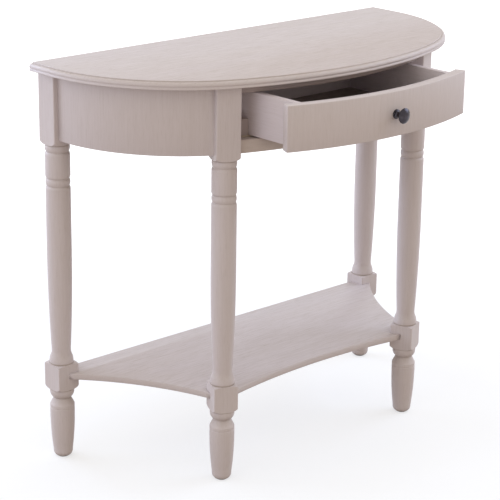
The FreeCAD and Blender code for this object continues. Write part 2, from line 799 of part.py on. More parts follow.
def drawer_side(name, side):
    body = new_body(f"drawer_{name}_side", y="drawer_rear_edge")
    outline = [
        (f"{side} * box_inner", "box_rear"),
        (f"{side} * box_half", "box_rear"),
        (f"{side} * box_half", arc_y("inside_radius", "box_half"), "inside_radius", -side),
        (f"{side} * box_inner", arc_y("inside_radius", "box_inner")),
    ]
    pad(body, "board", outline, "side_bottom", "side_top - side_bottom")
    front = f"({arc_y('inside_radius', 'box_inner')} - cut_overrun)"
    slot = [
        (f"{side} * (box_inner - cut_overrun)", "box_rear + cut_overrun"),
        (f"{side} * (box_inner + panel_groove)", "box_rear + cut_overrun"),
        (f"{side} * (box_inner + panel_groove)", front),
        (f"{side} * (box_inner - cut_overrun)", front),
    ]
    sketch = new_sketch(body, "panel_slot", "XY_Plane", "panel_top")
    trace(sketch, slot)
    extrude(body, "Pocket", "panel_slot", sketch, "panel_slot")
    drill(body, "pin_holes", "XZ_Plane", [(f"{side} * box_side", level) for level in pin_levels()],
          "pin_hole", "pin_length + hole_spare", "-front_pin_y")
    screws = [("back_middle", level) for level in back_levels()]
    outer = f"{side} * box_half"
    drill(body, "screw_holes", "YZ_Plane", screws, "screw_hole", "drawer_wall",
          outer, reverse=side == LEFT)
    drill(body, "screw_sinks", "YZ_Plane", screws, "screw_sink_radius", "screw_sink",
          outer, reverse=side == LEFT)


def drawer_back():
    body = new_body("drawer_back", y="drawer_rear_edge")
    outline = [
        ("-box_inner", "back_inner"),
        ("box_inner", "back_inner"),
        ("box_inner", "box_rear"),
        ("-box_inner", "box_rear"),
    ]
    pad(body, "board", outline, "panel_top", "side_top - panel_top")
    for name, side in SIDES.items():
        drill(body, f"{name}_screw_holes", "YZ_Plane", [("back_middle", level) for level in back_levels()],
              "screw_hole", "back_screw_length + hole_spare - drawer_wall", f"{side} * box_inner",
              reverse=side == LEFT)


def drawer_bottom():
    body = new_body("drawer_bottom", y="drawer_rear_edge")
    edge = "(box_inner + panel_groove - panel_play)"
    front = "(inside_radius + panel_groove - panel_play)"
    outline = [
        (f"-{edge}", "box_rear"),
        (f"-{edge}", arc_y(front, edge), front, 1),
        (edge, arc_y(front, edge)),
        (edge, "box_rear"),
    ]
    pad(body, "panel", outline, "panel_bottom + panel_gap", "panel_thickness")


def drawer_knob():
    body = new_body("drawer_knob", y="drawer_rear_edge + knob_y", z="knob_z", roll="90")
    corners = [("0", "knob_projection", "knob_dome", BEAD)]
    for height, radius, *bend in KNOB_SHARES:
        corner = (f"knob_radius * {radius}", f"knob_rim * {height}")
        if bend:
            corner += (f"knob_radius * {bend[0]}", bend[1])
        corners.append(corner)
    corners += [("screw_hole", "0"), ("screw_hole", "knob_bore"), ("0", "knob_bore")]
    revolve(body, "Revolution", "turned", corners)


def screw(label, length, node=False, **place):
    """A screw that points down from its head, whose top is at the origin."""
    body = new_body(label, node=node, **place)
    corners = [
        ("0", "0"),
        ("screw_head_radius", "0"),
        ("screw_head_radius", "-screw_head"),
        ("screw_radius", "-screw_head"),
        ("screw_radius", f"screw_tip - {length}"),
        ("screw_point", f"-{length}"),
        ("0", f"-{length}"),
    ]
    revolve(body, "Revolution", "turned", corners)
    return body


def dowel(label, radius, length):
    """A dowel centred on the origin, with chamfered ends."""
    body = new_body(label, node=False)
    sketch = new_sketch(body, "round", "XY_Plane", f"-{length} / 2")
    circles(sketch, [("0", "0")], radius)
    extrude(body, "Pad", "round", sketch, length)
    ends = value(f"{length} / 2")
    dress(body, "Chamfer", "ends", "dowel_chamfer",
          lambda edge: is_level(edge, ends) or is_level(edge, -ends))
    return body


def glide():
    body = new_body("glide", node=False)
    pin_top = "glide_thickness + glide_pin"
    corners = [
        ("0", "0"),
        ("glide_radius - glide_edge", "0"),
        ("glide_radius", "glide_edge"),
        ("glide_radius", "glide_thickness"),
        ("glide_pin_radius", "glide_thickness"),
        ("glide_pin_radius", pin_top),
        ("0", pin_top),
    ]
    revolve(body, "Revolution", "turned", corners)
    return body


def along_x(x, y, z, yaw="0"):
    return placement(x, f"rear_edge + {y}", z, yaw, "90")


def along_y(x, y, z, yaw="0"):
    return placement(x, f"rear_edge + {y}", z, yaw, "0", "90")


def dowels():
    """The glued joints of the frame and of the drawer."""
    thick = dowel("dowel", "dowel_radius", "dowel_length")
    thin = dowel("pin", "pin_radius", "pin_length")
    apron, joints, shelf_pins, drawer_pins = [], [], [], []
    for side in SIDES.values():
        yaw = f"{side} * leg_turn"
        for level in apron_levels():
            apron.append(along_x(f"{side} * (rear_leg_x - half_block)", "rear_middle", level))
            apron.append(along_y(f"{side} * (rear_leg_x + rear_dowel)", "rear_leg_y - half_block", level))
            apron.append(along_x(*by_leg("half_block", "side_dowel", side), level, yaw))
        for level in rail_levels():
            joints.append(along_x(*by_leg("-half_block", "rail_dowel", side), level, yaw))
        joints.append(along_y(f"{side} * runner_middle", "rail_pin_y + dowel_length / 2",
                              "runner_dowel_level"))
        shelf_pins.append(along_x(f"{side} * (rear_leg_x - half_block)", "rear_leg_y", "shelf_middle"))
        shelf_pins.append(along_y(*by_leg("0", "-half_block", side), "shelf_middle", yaw))
        for level in pin_levels():
            y = "front_pin_y + pin_length / 2 - rest_opening"
            drawer_pins.append(along_y(f"{side} * box_side", y, level))
    group("apron_dowels", thick, apron)
    group("rail_dowels", thick, joints)
    group("shelf_dowels", thin, shelf_pins)
    group("drawer_dowels", thin, drawer_pins)


def screws():
    """The screwed joints of the frame and of the drawer."""
    top_screw = screw("top_screw", "top_screw_length")
    back_screw = screw("back_screw", "back_screw_length")
    long_screw = screw("long_screw", "long_screw_length")
    top, guides, runners, back = [], [], [], []
    for side in SIDES.values():
        for x, y in strip_places("runner_middle", side):
            top.append(placement(x, f"rear_edge + {y}", "kicker_bottom", pitch="180"))
        for x, y in strip_places("guide_middle", side):
            guides.append(placement(x, f"rear_edge + {y}", "guide_top"))
        runners.append(placement(f"{side} * runner_middle", "rear_edge + rear_face", "runner_level",
                                 roll="-90"))
        for level in back_levels():
            y = "drawer_rear_edge + back_middle"
            back.append(placement(f"{side} * box_half", y, level, pitch=f"{side} * 90"))
    group("top_screws", top_screw, top)
    group("guide_screws", long_screw, guides)
    group("runner_screws", long_screw, runners)
    group("drawer_screws", back_screw, back)
    screw("knob_screw", "(screw_head + front_thickness + knob_bore - hole_spare)", node=True,
          y="drawer_rear_edge + front_centre - inside_radius + seat_gap + screw_head", z="knob_z", roll="-90")


def glides():
    places = []
    for side in SIDES.values():
        places.append(placement(f"{side} * rear_leg_x", "rear_edge + rear_leg_y", "0"))
        places.append(placement(f"{side} * front_leg_x", "rear_edge + front_leg_y", "0"))
    group("foot_glides", glide(), places)


def check():
    """Stop if an object failed, a cut took nothing away or a piece isn't sound."""
    for item in doc.Objects:
        if "Invalid" in item.State or "Error" in item.State:
            raise RuntimeError(f"{item.Label}: {item.State}")
    for cut in CUTS:
        if cut.Shape.Volume >= cut.BaseFeature.Shape.Volume:
            raise RuntimeError(f"{cut.Label} cuts nothing")
    for node in NODES:
        if node.Shape.isNull() or not node.Shape.isValid():
            raise RuntimeError(f"{node.Label} isn't sound")


def main():
    tabletop()
    rear_apron()
    rails()
    shelf()
    for name, side in SIDES.items():
        rear_leg(name, side)
        front_leg(name, side)
        side_apron(name, side)
        runner(name, side)
        guide(name, side)
        kicker(name, side)
        drawer_side(name, side)
    drawer_front()
    drawer_back()
    drawer_bottom()
    drawer_knob()
    dowels()
    screws()
    glides()
    doc.recompute()
    check()
    os.makedirs("parts", exist_ok=True)
    for node in NODES:
        node.Shape.exportStep(f"parts/{node.Label}.step")
        print(node.Label, len(node.Shape.Solids), "solids", round(node.Shape.Volume), "mm3")


main()
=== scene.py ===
import math
from collections import namedtuple
from types import SimpleNamespace

import bmesh
import bpy
import numpy as np
from mathutils import Matrix, Vector


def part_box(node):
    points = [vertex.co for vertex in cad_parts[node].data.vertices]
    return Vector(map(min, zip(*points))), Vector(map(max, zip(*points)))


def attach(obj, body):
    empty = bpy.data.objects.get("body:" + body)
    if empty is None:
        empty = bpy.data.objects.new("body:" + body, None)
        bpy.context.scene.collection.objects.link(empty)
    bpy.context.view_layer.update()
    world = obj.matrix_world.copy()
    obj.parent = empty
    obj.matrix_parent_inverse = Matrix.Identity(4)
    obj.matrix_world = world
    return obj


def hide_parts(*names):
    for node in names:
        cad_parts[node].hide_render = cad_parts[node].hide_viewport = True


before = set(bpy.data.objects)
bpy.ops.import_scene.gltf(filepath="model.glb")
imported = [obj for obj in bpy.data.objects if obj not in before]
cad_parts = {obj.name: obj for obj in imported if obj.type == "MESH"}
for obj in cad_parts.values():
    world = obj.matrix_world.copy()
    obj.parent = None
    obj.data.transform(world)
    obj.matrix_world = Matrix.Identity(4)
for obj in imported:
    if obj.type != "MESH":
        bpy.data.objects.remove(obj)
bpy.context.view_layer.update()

bl_info = {
    "name": "Demilune table",
    "version": (1, 0, 0),
    "blender": (4, 5, 0),
    "location": "3D View > Sidebar > Demilune",
    "description": "Builds the looks of a painted half-round table with one drawer",
    "category": "Object",
}

TOP_LOW, TOP_HIGH = [Vector(corner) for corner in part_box("tabletop")]
APRON_LOW, APRON_HIGH = [Vector(corner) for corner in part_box("rear_apron")]
RAIL_LOW, RAIL_HIGH = [Vector(corner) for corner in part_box("lower_rail")]
CAP_LOW = Vector(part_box("upper_rail")[0])
SHELF_LOW, SHELF_HIGH = [Vector(corner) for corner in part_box("shelf")]
LEG_LOW, LEG_HIGH = [Vector(corner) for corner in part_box("rear_right_leg")]
FRONT_LOW, FRONT_HIGH = [Vector(corner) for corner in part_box("drawer_front")]
WALL_LOW, WALL_HIGH = [Vector(corner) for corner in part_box("drawer_right_side")]
KNOB_LOW, KNOB_HIGH = [Vector(corner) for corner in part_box("drawer_knob")]

BEAD = -1
HOLLOW = 1
# Turned outlines from the top down: share of the height, share of the half block, and, for a
# stretch that is an arc, its radius as a share of the half block and the way it bends.
COLUMN = (
    (1.000, 0.948, 0.72, BEAD), (0.971, 0.939), (0.9673, 0.905), (0.9637, 0.939, 0.26, BEAD),
    (0.955, 0.996), (0.8602, 0.996, 0.26, BEAD), (0.8519, 0.939), (0.8483, 0.905),
    (0.8448, 0.939, 0.60, BEAD), (0.8199, 0.939), (0.8164, 0.905), (0.8128, 0.939, 0.26, BEAD),
    (0.8033, 0.996), (0.5237, 0.996, 163, BEAD), (0.0853, 0.797, 4.0, HOLLOW),
    (0.0557, 0.778, 0.95, HOLLOW), (0.0375, 0.875, 1.09, BEAD), (0.000, 0.950),
)
FOOT = (
    (1.000, 0.957, 0.20, BEAD), (0.985, 0.991), (0.967, 0.991, 0.70, BEAD), (0.867, 0.696),
    (0.7675, 1.000), (0.7306, 1.000), (0.7218, 0.970), (0.7122, 1.000), (0.6605, 1.004, 27, BEAD),
    (0.0775, 0.787, 0.52, BEAD), (0.000, 0.610),
)
# The same for the knob, with its rim's height and its radius as the wholes.
KNOB = (
    (1.000, 1.000, 0.125, BEAD), (0.882, 0.913, 0.62, HOLLOW), (0.618, 0.333),
    (0.322, 0.333, 0.29, HOLLOW), (0.129, 0.551, 0.088, BEAD), (0.075, 0.616), (0.000, 0.616),
)
# Rings of a rounded shoulder, as shares of the way from the turning out to the square block.
SHOULDER_RINGS = (1.0, 0.93, 0.82, 0.66, 0.45, 0.22)
# The groove on the top's edge from below: share of its depth, and height over its middle in depths.
GROOVE_SHARES = ((0.0, -1.2), (1.0, -0.2), (1.0, 0.2), (0.18, 1.35))

# A notch is measured against the widest turning within this height, and from this depth on it
# holds a full 1 of its mark: glaze with painted shade, darker the deeper the notch.
NOTCH_REACH = 0.007
NOTCH_DEPTH = 0.004
# Painted shade: a dark line in the gap where a turned stretch meets a block, and the height over which
# it fades out.
SEAM_SHADE = 2.7
SEAM_SHADE_FADE = 0.002
# Painted shade in the corner of the step on the top's edge, and the share of the step that it covers.
STEP_SHADE = 1.3
STEP_SHADE_SHARE = 1 / 3
# How far 1 of the recess mark turns the paint towards the colour of the glaze and painted shade.
RECESS_SHADE_SHARE = 0.35

QUARTER = math.radians(90)
# Edges that bend by more than this are sharp. The fine turning of the legs has its own limit.
SHARP = math.radians(50)
LEG_SHARP = math.radians(24)
LEG_SEGMENTS = 128
ROUND_SEGMENTS = 64
# How far a leg's segments crowd towards the corners of its blocks, from 0 to 1.
CROWDING = 0.7
BLOCK_SIDES = 4
# A step of a turned arc is at most this turn and this length, and an arc has at least this many.
ARC_TURN = math.radians(9)
ARC_LENGTH = 0.02
ARC_FEWEST = 3
EASE_STEPS = 3
OVOLO_STEPS = 8
DOME_STEPS = 12
GLIDE_STEPS = 4
TOP_SIDE_POINTS = 36
TOP_FRONT_POINTS = 40
APRON_POINTS = 40
BOW_POINTS = 49
SHELF_SIDE_POINTS = 25
SHELF_FRONT_POINTS = 49
MERGE = 1e-6

# Where a board's grain starts, so that no two boards look alike, and how far it moves on from one
# copy of a turned piece to the next.
SHELF_START = 0.4
FRONT_START = 0.9
WALL_START = 0.6
COPY_START = (0.71, 0.37, 0.53)
# Patterns in a finish: scale of the noise along and across the grain, its detail and roughness,
# the range of its values that shows, and how much shows at the end of that range.
Pattern = namedtuple("Pattern", "along across detail roughness low high most")
BROAD = Pattern(2.5, 24, 3, 0.5, 0.36, 0.66, 0.28)
BAND = Pattern(4, 80, 3, 0.6, 0.40, 0.72, 0.16)
STREAK = Pattern(14, 300, 4, 0.62, 0.40, 0.76, 0.80)
PORES = Pattern(45, 800, 2, 0.5, 0.56, 0.72, 0.85)
RINGS = Pattern(3, 90, 5, 0.6, 0.36, 0.68, 1.0)
FIBRE = Pattern(30, 900, 2, 0.5, 0.55, 0.80, 0.5)
CLOUDS = Pattern(1, 1, 4, 0.6, 0.35, 0.7, 1.0)
# Range of a pattern's values over which the roughness of a finish changes, and that roughness.
GRAIN_GLOSS = (0.3, 0.8)
CLOUD_GLOSS = (0.3, 0.7)
PAINT_ROUGHNESS = (0.42, 0.60)
WOOD_ROUGHNESS = (0.55, 0.75)
# Strength of the fine relief in a finish, and its depth in metres.
PAINT_RELIEF = (0.35, 0.0003)
WOOD_RELIEF = (0.3, 0.0003)
PLAIN_RELIEF = (0.08, 0.0002)
# How much the streaks count in the paint's relief, with 1 for the pores.
STREAK_RELIEF = 0.5
# Upright part of a face's normal at which it starts to show more grain than an edge, and at which
# it shows all the grain of a level face.
LEVEL_RANGE = (0.5, 0.95)
# Colour of the darkest clouds in a plain finish, as a share of its main colour.
CLOUD_SHARE = 0.7

FLOOR_REACH = 14.0
FLOOR_ROUGHNESS = 0.9
FLOOR_SPECULAR = 0.1
# Distances from the middle of the floor between which its glow rises to white.
GLOW_RANGE = (0.8, 2.2)
WHITE = (1, 1, 1)
LAMP_HEIGHT = 1.6
LAMP_AIM = Vector((0, 0, 0.5))
SENSOR_WIDTH = 36.0
CLIP_END = 100.0


def length(name, description, default):
    """A size in metres that a user can change."""
    return bpy.props.FloatProperty(
        name=name, description=description, default=default, min=0.0, precision=4, unit="LENGTH"
    )


def colour(name, description, default):
    """A colour that a user can change."""
    return bpy.props.FloatVectorProperty(
        name=name, description=description, default=default, size=3, min=0.0, max=1.0, subtype="COLOR"
    )


def angle(name, description, degrees):
    """A turn that a user can change, given in degrees."""
    return bpy.props.FloatProperty(
        name=name, description=description, default=math.radians(degrees), unit="ROTATION"
    )


def share(name, description, default):
    """A part of a whole that a user can change."""
    return bpy.props.FloatProperty(
        name=name, description=description, default=default, min=0.0, max=1.0, subtype="FACTOR"
    )


def power(name, description, default):
    """The power of a lamp in watts."""
    return bpy.props.FloatProperty(
        name=name, description=description, default=default, min=0.0, unit="POWER"
    )


class DEMILUNE_PG_table(bpy.types.PropertyGroup):
    """Sizes of the fixed table."""

    top_width: length("Top width", "Width of the top along its rear edge", TOP_HIGH.x - TOP_LOW.x)
    top_depth: length("Top depth", "Depth of the top from rear edge to bow", TOP_HIGH.y - TOP_LOW.y)
    top_height: length("Top height", "Height of the table", TOP_HIGH.z)
    top_thickness: length("Top thickness", "Thickness of the top", TOP_HIGH.z - TOP_LOW.z)
    side_straight: length("Straight side", "Straight stretch of the edge at each rear corner", 0.060)
    front_radius: length("Front radius", "Radius of the top's bow between the front legs", 0.700)
    step: length("Step", "Height of the small step on the top's edge", 0.002)
    ledge: length("Ledge", "Width of the flat ledge under the step", 0.0014)
    ovolo: length("Ovolo", "Radius of the quarter round under the step", 0.006)
    groove: length("Groove", "Depth of the fine groove under the quarter round", 0.0014)
    groove_height: length("Groove height", "Height of the groove over the underside of the top", 0.0043)
    top_ease: length("Top ease", "Rounding of the sharp edges of the top", 0.0006)
    block: length("Leg block", "Width of the legs' square blocks", LEG_HIGH.x - LEG_LOW.x)
    block_ease: length("Block ease", "Rounding of the blocks' corners", 0.002)
    shoulder: length("Shoulder", "Radius of the rounded lower ends of the blocks", 0.01104)
    crown: length("Crown", "Radius of the flatter upper ends of the blocks at the shelf", 0.02415)
    overhang: length("Overhang", "How far the top stands out over the blocks", 0.0165)
    leg_turn: angle("Leg turn", "How far the front legs are turned to face the curve", 22.5)
    apron_block: length("Apron block", "Height of the blocks at the apron", 0.134)
    shelf_block: length("Shelf block", "Height of the blocks at the shelf", 0.051)
    foot: length("Foot", "Height of the turned feet", 0.1355)
    apron_height: length("Apron height", "Height of the aprons", APRON_HIGH.z - APRON_LOW.z)
    apron_thickness: length(
        "Apron thickness", "Thickness of the aprons and rails", APRON_HIGH.y - APRON_LOW.y
    )
    apron_setback: length("Apron setback", "How far the aprons lie behind the blocks' faces", 0.0095)
    apron_ease: length("Apron ease", "Rounding of the edges of the aprons and rails", 0.001)
    shelf_ease: length("Shelf ease", "Rounding of the shelf's edges", 0.0016)
    shelf_front_bend: length("Shelf front bend", "Radius of the hollow in the shelf's front edge", 1.240)
    shelf_side_bend: length("Shelf side bend", "Radius of the hollow in the shelf's side edges", 0.560)
    glide_radius: length("Glide radius", "Radius of the plastic glides under the feet", 0.011)
    glide_ease: length("Glide ease", "Rounding of the glides' edge", 0.0008)


class DEMILUNE_PG_drawer(bpy.types.PropertyGroup):
    """Sizes of the drawer."""

    opening: length("Opening", "How far the drawer stands open at rest", RAIL_LOW.y - FRONT_LOW.y)
    gap: length("Gap", "Clearance between the drawer front and the legs", 0.0012)
    front_thickness: length("Front thickness", "Thickness of the bowed front", 0.020)
    front_ease: length("Front ease", "Rounding of the edges of the front", 0.0012)
    wall: length("Wall", "Thickness of the drawer's sides", WALL_HIGH.x - WALL_LOW.x)
    wall_ease: length("Wall ease", "Rounding of the edges of the drawer's sides", 0.0012)
    knob_radius: length("Knob radius", "Radius of the knob's head", (KNOB_HIGH.x - KNOB_LOW.x) / 2)
    knob_crown: length("Knob crown", "Rise of the dome on the knob's head", 0.0058)
    knob_projection: length("Knob projection", "How far the knob stands out", 0.026)


class DEMILUNE_PG_finish(bpy.types.PropertyGroup):
    """Colours of the finishes, of the painted shade and painted light on some pieces, and how much grain
    shows in them.
    """

    paint: colour("Paint", "Main colour of the painted wood", (0.640, 0.585, 0.600))
    paint_warm: colour(
        "Warm paint", "Colour where the paint is thin and the wood shows through", (0.586, 0.522, 0.472)
    )
    paint_deep: colour("Deep paint", "Colour of the fine streaks in the paint", (0.434, 0.377, 0.350))
    # This colour is the glaze in the pores and also the painted shade in the notches, seams and the
    # top's step.
    glaze_and_shade: colour("Glaze", "Colour of the pores and of the turned notches", (0.358, 0.294, 0.239))
    # Darker, warmer tone on the lower rail: painted shade from the drawer above it.
    lower_rail_shade: colour("Rail paint", "Colour of the paint on the lower rail", (0.570, 0.497, 0.465))
    # Darker tone on the upper rail and the guides: painted shade under the top.
    upper_rail_and_guide_shade: colour(
        "Shade paint", "Colour of the thin wash on the upper rail and guides", (0.350, 0.285, 0.278)
    )
    # Lighter, more lavender tone on the drawer's sides and back: painted light.
    box_painted_light: colour("Box paint", "Colour of the drawer's sides and back", (0.680, 0.625, 0.670))
    top_grain: share("Top grain", "How much grain shows through the paint of the top", 0.55)
    shelf_grain: share("Shelf grain", "How much grain shows through the paint of the shelf", 0.45)
    upright_grain: share("Upright grain", "How much grain shows through the other paint", 0.17)
    bare_wood: colour("Bare wood", "Colour of the unpainted wood inside", (0.470, 0.395, 0.310))
    bare_wood_deep: colour("Deep bare wood", "Colour of the grain in it", (0.330, 0.260, 0.190))
    panel: colour("Panel", "Colour of the drawer's thin bottom panel", (0.330, 0.280, 0.265))
    panel_deep: colour("Deep panel", "Colour of the fibres in the bottom panel", (0.280, 0.235, 0.222))
    knob: colour("Knob", "Colour of the knob's metal", (0.062, 0.055, 0.064))
    screw: colour("Screw", "Colour of the screws", (0.520, 0.520, 0.500))
    glide: colour("Glide", "Colour of the plastic glides", (0.070, 0.065, 0.060))


class DEMILUNE_PG_stage(bpy.types.PropertyGroup):
    """Floor, lights and camera."""

    floor: colour("Floor", "Colour of the floor", (0.400, 0.420, 0.455))
    bounce: colour("Bounce", "Colour that the floor throws back on the table", (0.440, 0.370, 0.320))
    lamp_colour: colour("Lamp colour", "Colour of the three large lights", (0.66, 0.77, 1.0))
    room_colour: colour("Room colour", "Colour of the even light from all sides", (1.0, 0.895, 0.755))
    left_power: power("Left power", "Power of the large light at the left", 16.0)
    right_power: power("Right power", "Power of the large light at the right", 38.0)
    rear_power: power("Rear power", "Power of the large light behind the table", 53.0)
    room: bpy.props.FloatProperty(
        name="Room light", description="Strength of the even light from all sides", default=0.78, min=0.0
    )
    floor_glow: bpy.props.FloatProperty(
        name="Floor glow", description="Light that the floor adds for the camera", default=0.62, min=0.0
    )
    camera_place: bpy.props.FloatVectorProperty(
        name="Camera place", description="Where the camera stands", default=(-2.2751, -2.3160, 1.4326),
        size=3, subtype="TRANSLATION", unit="LENGTH",
    )
    camera_yaw: angle("Camera yaw", "Turn of the camera about the upright", 42.718)
    camera_pitch: angle("Camera pitch", "How far the camera looks down", 17.983)
    camera_roll: angle("Camera roll", "Tilt of the camera about its own axis", 0.81)
    camera_lens: bpy.props.FloatProperty(
        name="Lens", description="Focal length in millimetres", default=129.54, min=1.0, unit="CAMERA"
    )


def sizes():
    """The sizes of the table in this scene."""
    return bpy.context.scene.demilune_table


def drawer_sizes():
    """The sizes of the drawer in this scene."""
    return bpy.context.scene.demilune_drawer


def finish_colours():
    """The finishes in this scene."""
    return bpy.context.scene.demilune_finish


def plan():
    """Centres, radii and leg places that the pieces share, worked out from the sizes."""
    t = sizes()
    p = SimpleNamespace()
    p.rear = TOP_HIGH.y
    p.half = t.top_width / 2
    p.half_block = t.block / 2
    p.under_top = t.top_height - t.top_thickness
    p.front_y = p.rear - t.top_depth + t.front_radius
    p.corner_y = p.rear - t.side_straight
    run = p.front_y - p.corner_y
    p.corner_radius = (t.front_radius ** 2 - p.half ** 2 - run ** 2) / (2 * (t.front_radius - p.half))
    p.corner_x = p.half - p.corner_radius
    p.joint = math.atan2(p.corner_x, run)
    inset = t.overhang + t.apron_setback
    p.face = t.front_radius - inset
    p.side_face = p.corner_radius - inset
    p.turn = t.leg_turn
    reach = p.corner_radius - t.overhang - p.half_block
    p.front_leg = Vector((p.corner_x + reach * math.sin(p.turn), p.corner_y - reach * math.cos(p.turn)))
    p.rear_leg = Vector((p.half - t.overhang - p.half_block, LEG_HIGH.y - p.half_block))
    across = -(p.front_leg.x * math.cos(p.turn) + (p.front_leg.y - p.front_y) * math.sin(p.turn))
    p.rail_end = across + p.half_block
    return p


def by_leg(p, side, outwards, ahead):
    """Plan point beside a front leg, measured along its own two directions."""
    cos, sin = math.cos(p.turn), math.sin(p.turn)
    x = p.front_leg.x + outwards * cos + ahead * sin
    y = p.front_leg.y + outwards * sin - ahead * cos
    return Vector((side * x, y))


def round_points(centre, radius, start, end, count):
    """Plan points on an arc, with angles measured from the front."""
    points = []
    for a in np.linspace(start, end, count):
        points.append(Vector((centre[0] + radius * math.sin(a), centre[1] - radius * math.cos(a))))
    return points


def turn_between(centre, start, end):
    """Angle at which an arc starts, and how far it turns the short way round."""
    first = math.atan2(start.y - centre.y, start.x - centre.x)
    sweep = math.atan2(end.y - centre.y, end.x - centre.x) - first
    return first, (sweep + math.pi) % (2 * math.pi) - math.pi


def bend_between(start, end, radius, away, count):
    """Plan points on an arc between two points, hollowed away from a third."""
    middle = (start + end) / 2
    chord = end - start
    normal = Vector((-chord.y, chord.x)).normalized()
    if normal.dot(middle - away) < 0:
        normal = -normal
    centre = middle + normal * math.sqrt(radius ** 2 - (chord.length / 2) ** 2)
    first, sweep = turn_between(centre, start, end)
    points = []
    for a in np.linspace(first, first + sweep, count):
        points.append(centre + radius * Vector((math.cos(a), math.sin(a))))
    return points


def new_object(name, vertices, faces):
    """A mesh object at the origin with doubles merged and faces pointing outwards."""
    mesh = bpy.data.meshes.new(name)
    mesh.from_pydata([tuple(v) for v in vertices], [], faces)
    clean(mesh)
    made = bpy.data.objects.new(name, mesh)
    bpy.context.scene.collection.objects.link(made)
    return made


def clean(mesh):
    """Merges doubles and turns the faces outwards."""
    work = bmesh.new()
    work.from_mesh(mesh)
    bmesh.ops.remove_doubles(work, verts=work.verts, dist=MERGE)
    bmesh.ops.recalc_face_normals(work, faces=work.faces)
    work.to_mesh(mesh)
    work.free()


def settle(made):
    """Turns what the modifiers give into the object's own plain mesh."""
    bpy.context.view_layer.update()
    depsgraph = bpy.context.evaluated_depsgraph_get()
    mesh = bpy.data.meshes.new_from_object(
        made.evaluated_get(depsgraph), preserve_all_data_layers=True, depsgraph=depsgraph
    )
    made.modifiers.clear()
    old = made.data
    made.data = mesh
    bpy.data.meshes.remove(old)
    mesh.name = made.name


def ease(made, width, level_only=False):
    """Rounds the sharp edges, or only those round the upper and lower faces."""
    work = bmesh.new()
    work.from_mesh(made.data)
    weight = work.edges.layers.float.new("bevel_weight_edge")
    for edge in work.edges:
        sharp = len(edge.link_faces) == 2 and edge.calc_face_angle() > SHARP
        level = abs(edge.verts[0].co.z - edge.verts[1].co.z) < MERGE
        edge[weight] = 1.0 if sharp and (level or not level_only) else 0.0
    work.to_mesh(made.data)
    work.free()
    made.data.shade_smooth()
    bevel = made.modifiers.new("ease", "BEVEL")
    bevel.width = width
    bevel.segments = EASE_STEPS
    bevel.limit_method = "WEIGHT"
    bevel.harden_normals = True
    settle(made)
    made.data.set_sharp_from_angle(angle=SHARP)


def lay_grain(made, rule):
    """Stores where each vertex lies in its board: along the grain, across it and through it."""
    mesh = made.data
    count = len(mesh.vertices)
    places = np.empty(count * 3, dtype=np.float32)
    mesh.vertices.foreach_get("co", places)
    laid = np.column_stack(rule(*places.reshape(count, 3).T)).astype(np.float32)
    if "grain" in mesh.attributes:
        mesh.attributes.remove(mesh.attributes["grain"])
    layer = mesh.attributes.new("grain", "FLOAT_VECTOR", "POINT")
    layer.data.foreach_set("vector", laid.ravel())


def board(name, outer, inner, low, high):
    """A board on a bent plan line, from the plan points of its two faces."""
    vertices = []
    for face, back in zip(outer, inner):
        vertices += [(*face, low), (*face, high), (*back, high), (*back, low)]
    faces = []
    for i in range(len(outer) - 1):
        for j in range(4):
            k = (j + 1) % 4
            faces.append((4 * i + j, 4 * i + k, 4 * i + 4 + k, 4 * i + 4 + j))
    last = 4 * (len(outer) - 1)
    faces += [(0, 1, 2, 3), (last, last + 1, last + 2, last + 3)]
    return new_object(name, vertices, faces)


def prism(name, outline, low, high):
    """A flat board from its plan outline."""
    count = len(outline)
    vertices = [(*point, low) for point in outline] + [(*point, high) for point in outline]
    faces = [tuple(range(count)), tuple(range(count, 2 * count))]
    for i in range(count):
        j = (i + 1) % count
        faces.append((i, j, count + j, count + i))
    return new_object(name, vertices, faces)


def slab(name, low, high, width):
    """A straight board with rounded edges between two corners."""
    corners = ((low.x, low.y), (high.x, low.y), (high.x, high.y), (low.x, high.y))
    made = prism(name, corners, low.z, high.z)
    ease(made, width)
    return made


def finish_piece(made, material, body, slot, *nodes):
    """Gives a piece its material and its body, and hides the solids that it stands for; the slot is not
    used.
    """
    made.data.materials.clear()
    made.data.materials.append(material)
    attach(made, body)
    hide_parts(*nodes)


def feed(tree, made, inputs):
    """Links a node's inputs to sockets or sets them to plain values; returns the node."""
    for name, value in inputs.items():
        if isinstance(value, bpy.types.NodeSocket):
            tree.links.new(value, made.inputs[name])
        else:
            made.inputs[name].default_value = value
    return made


def node(tree, kind, inputs=None, **settings):
    """A new node with these settings and inputs."""
    made = tree.nodes.new(kind)
    for name, value in settings.items():
        setattr(made, name, value)
    return feed(tree, made, inputs or {})


def link_math(tree, operation, *values):
    """A Math node on sockets or numbers; returns its output."""
    return node(tree, "ShaderNodeMath", dict(enumerate(values)), operation=operation).outputs[0]


def link_vector(tree, *values):
    """A Combine XYZ node on sockets or numbers; returns its output."""
    return node(tree, "ShaderNodeCombineXYZ", dict(enumerate(values))).outputs[0]


def parts_of(tree, vector):
    """The X, Y and Z of a vector."""
    return node(tree, "ShaderNodeSeparateXYZ", {0: vector}).outputs


def named_value(tree, name, kind):
    """A named attribute of the geometry; returns its output."""
    made = node(tree, "GeometryNodeInputNamedAttribute", {"Name": name}, data_type=kind)
    return made.outputs["Attribute"]


def keep_value(tree, geometry, name, kind, domain, value):
    """Stores a value on the geometry; returns the geometry."""
    inputs = {"Geometry": geometry, "Name": name, "Value": value}
    made = node(tree, "GeometryNodeStoreNamedAttribute", inputs, data_type=kind, domain=domain)
    return made.outputs["Geometry"]


def sample(tree, geometry, value, index, kind):
    """The value at one point of the geometry."""
    inputs = {"Geometry": geometry, "Value": value, "Index": index}
    made = node(tree, "GeometryNodeSampleIndex", inputs, data_type=kind, domain="POINT")
    return made.outputs["Value"]


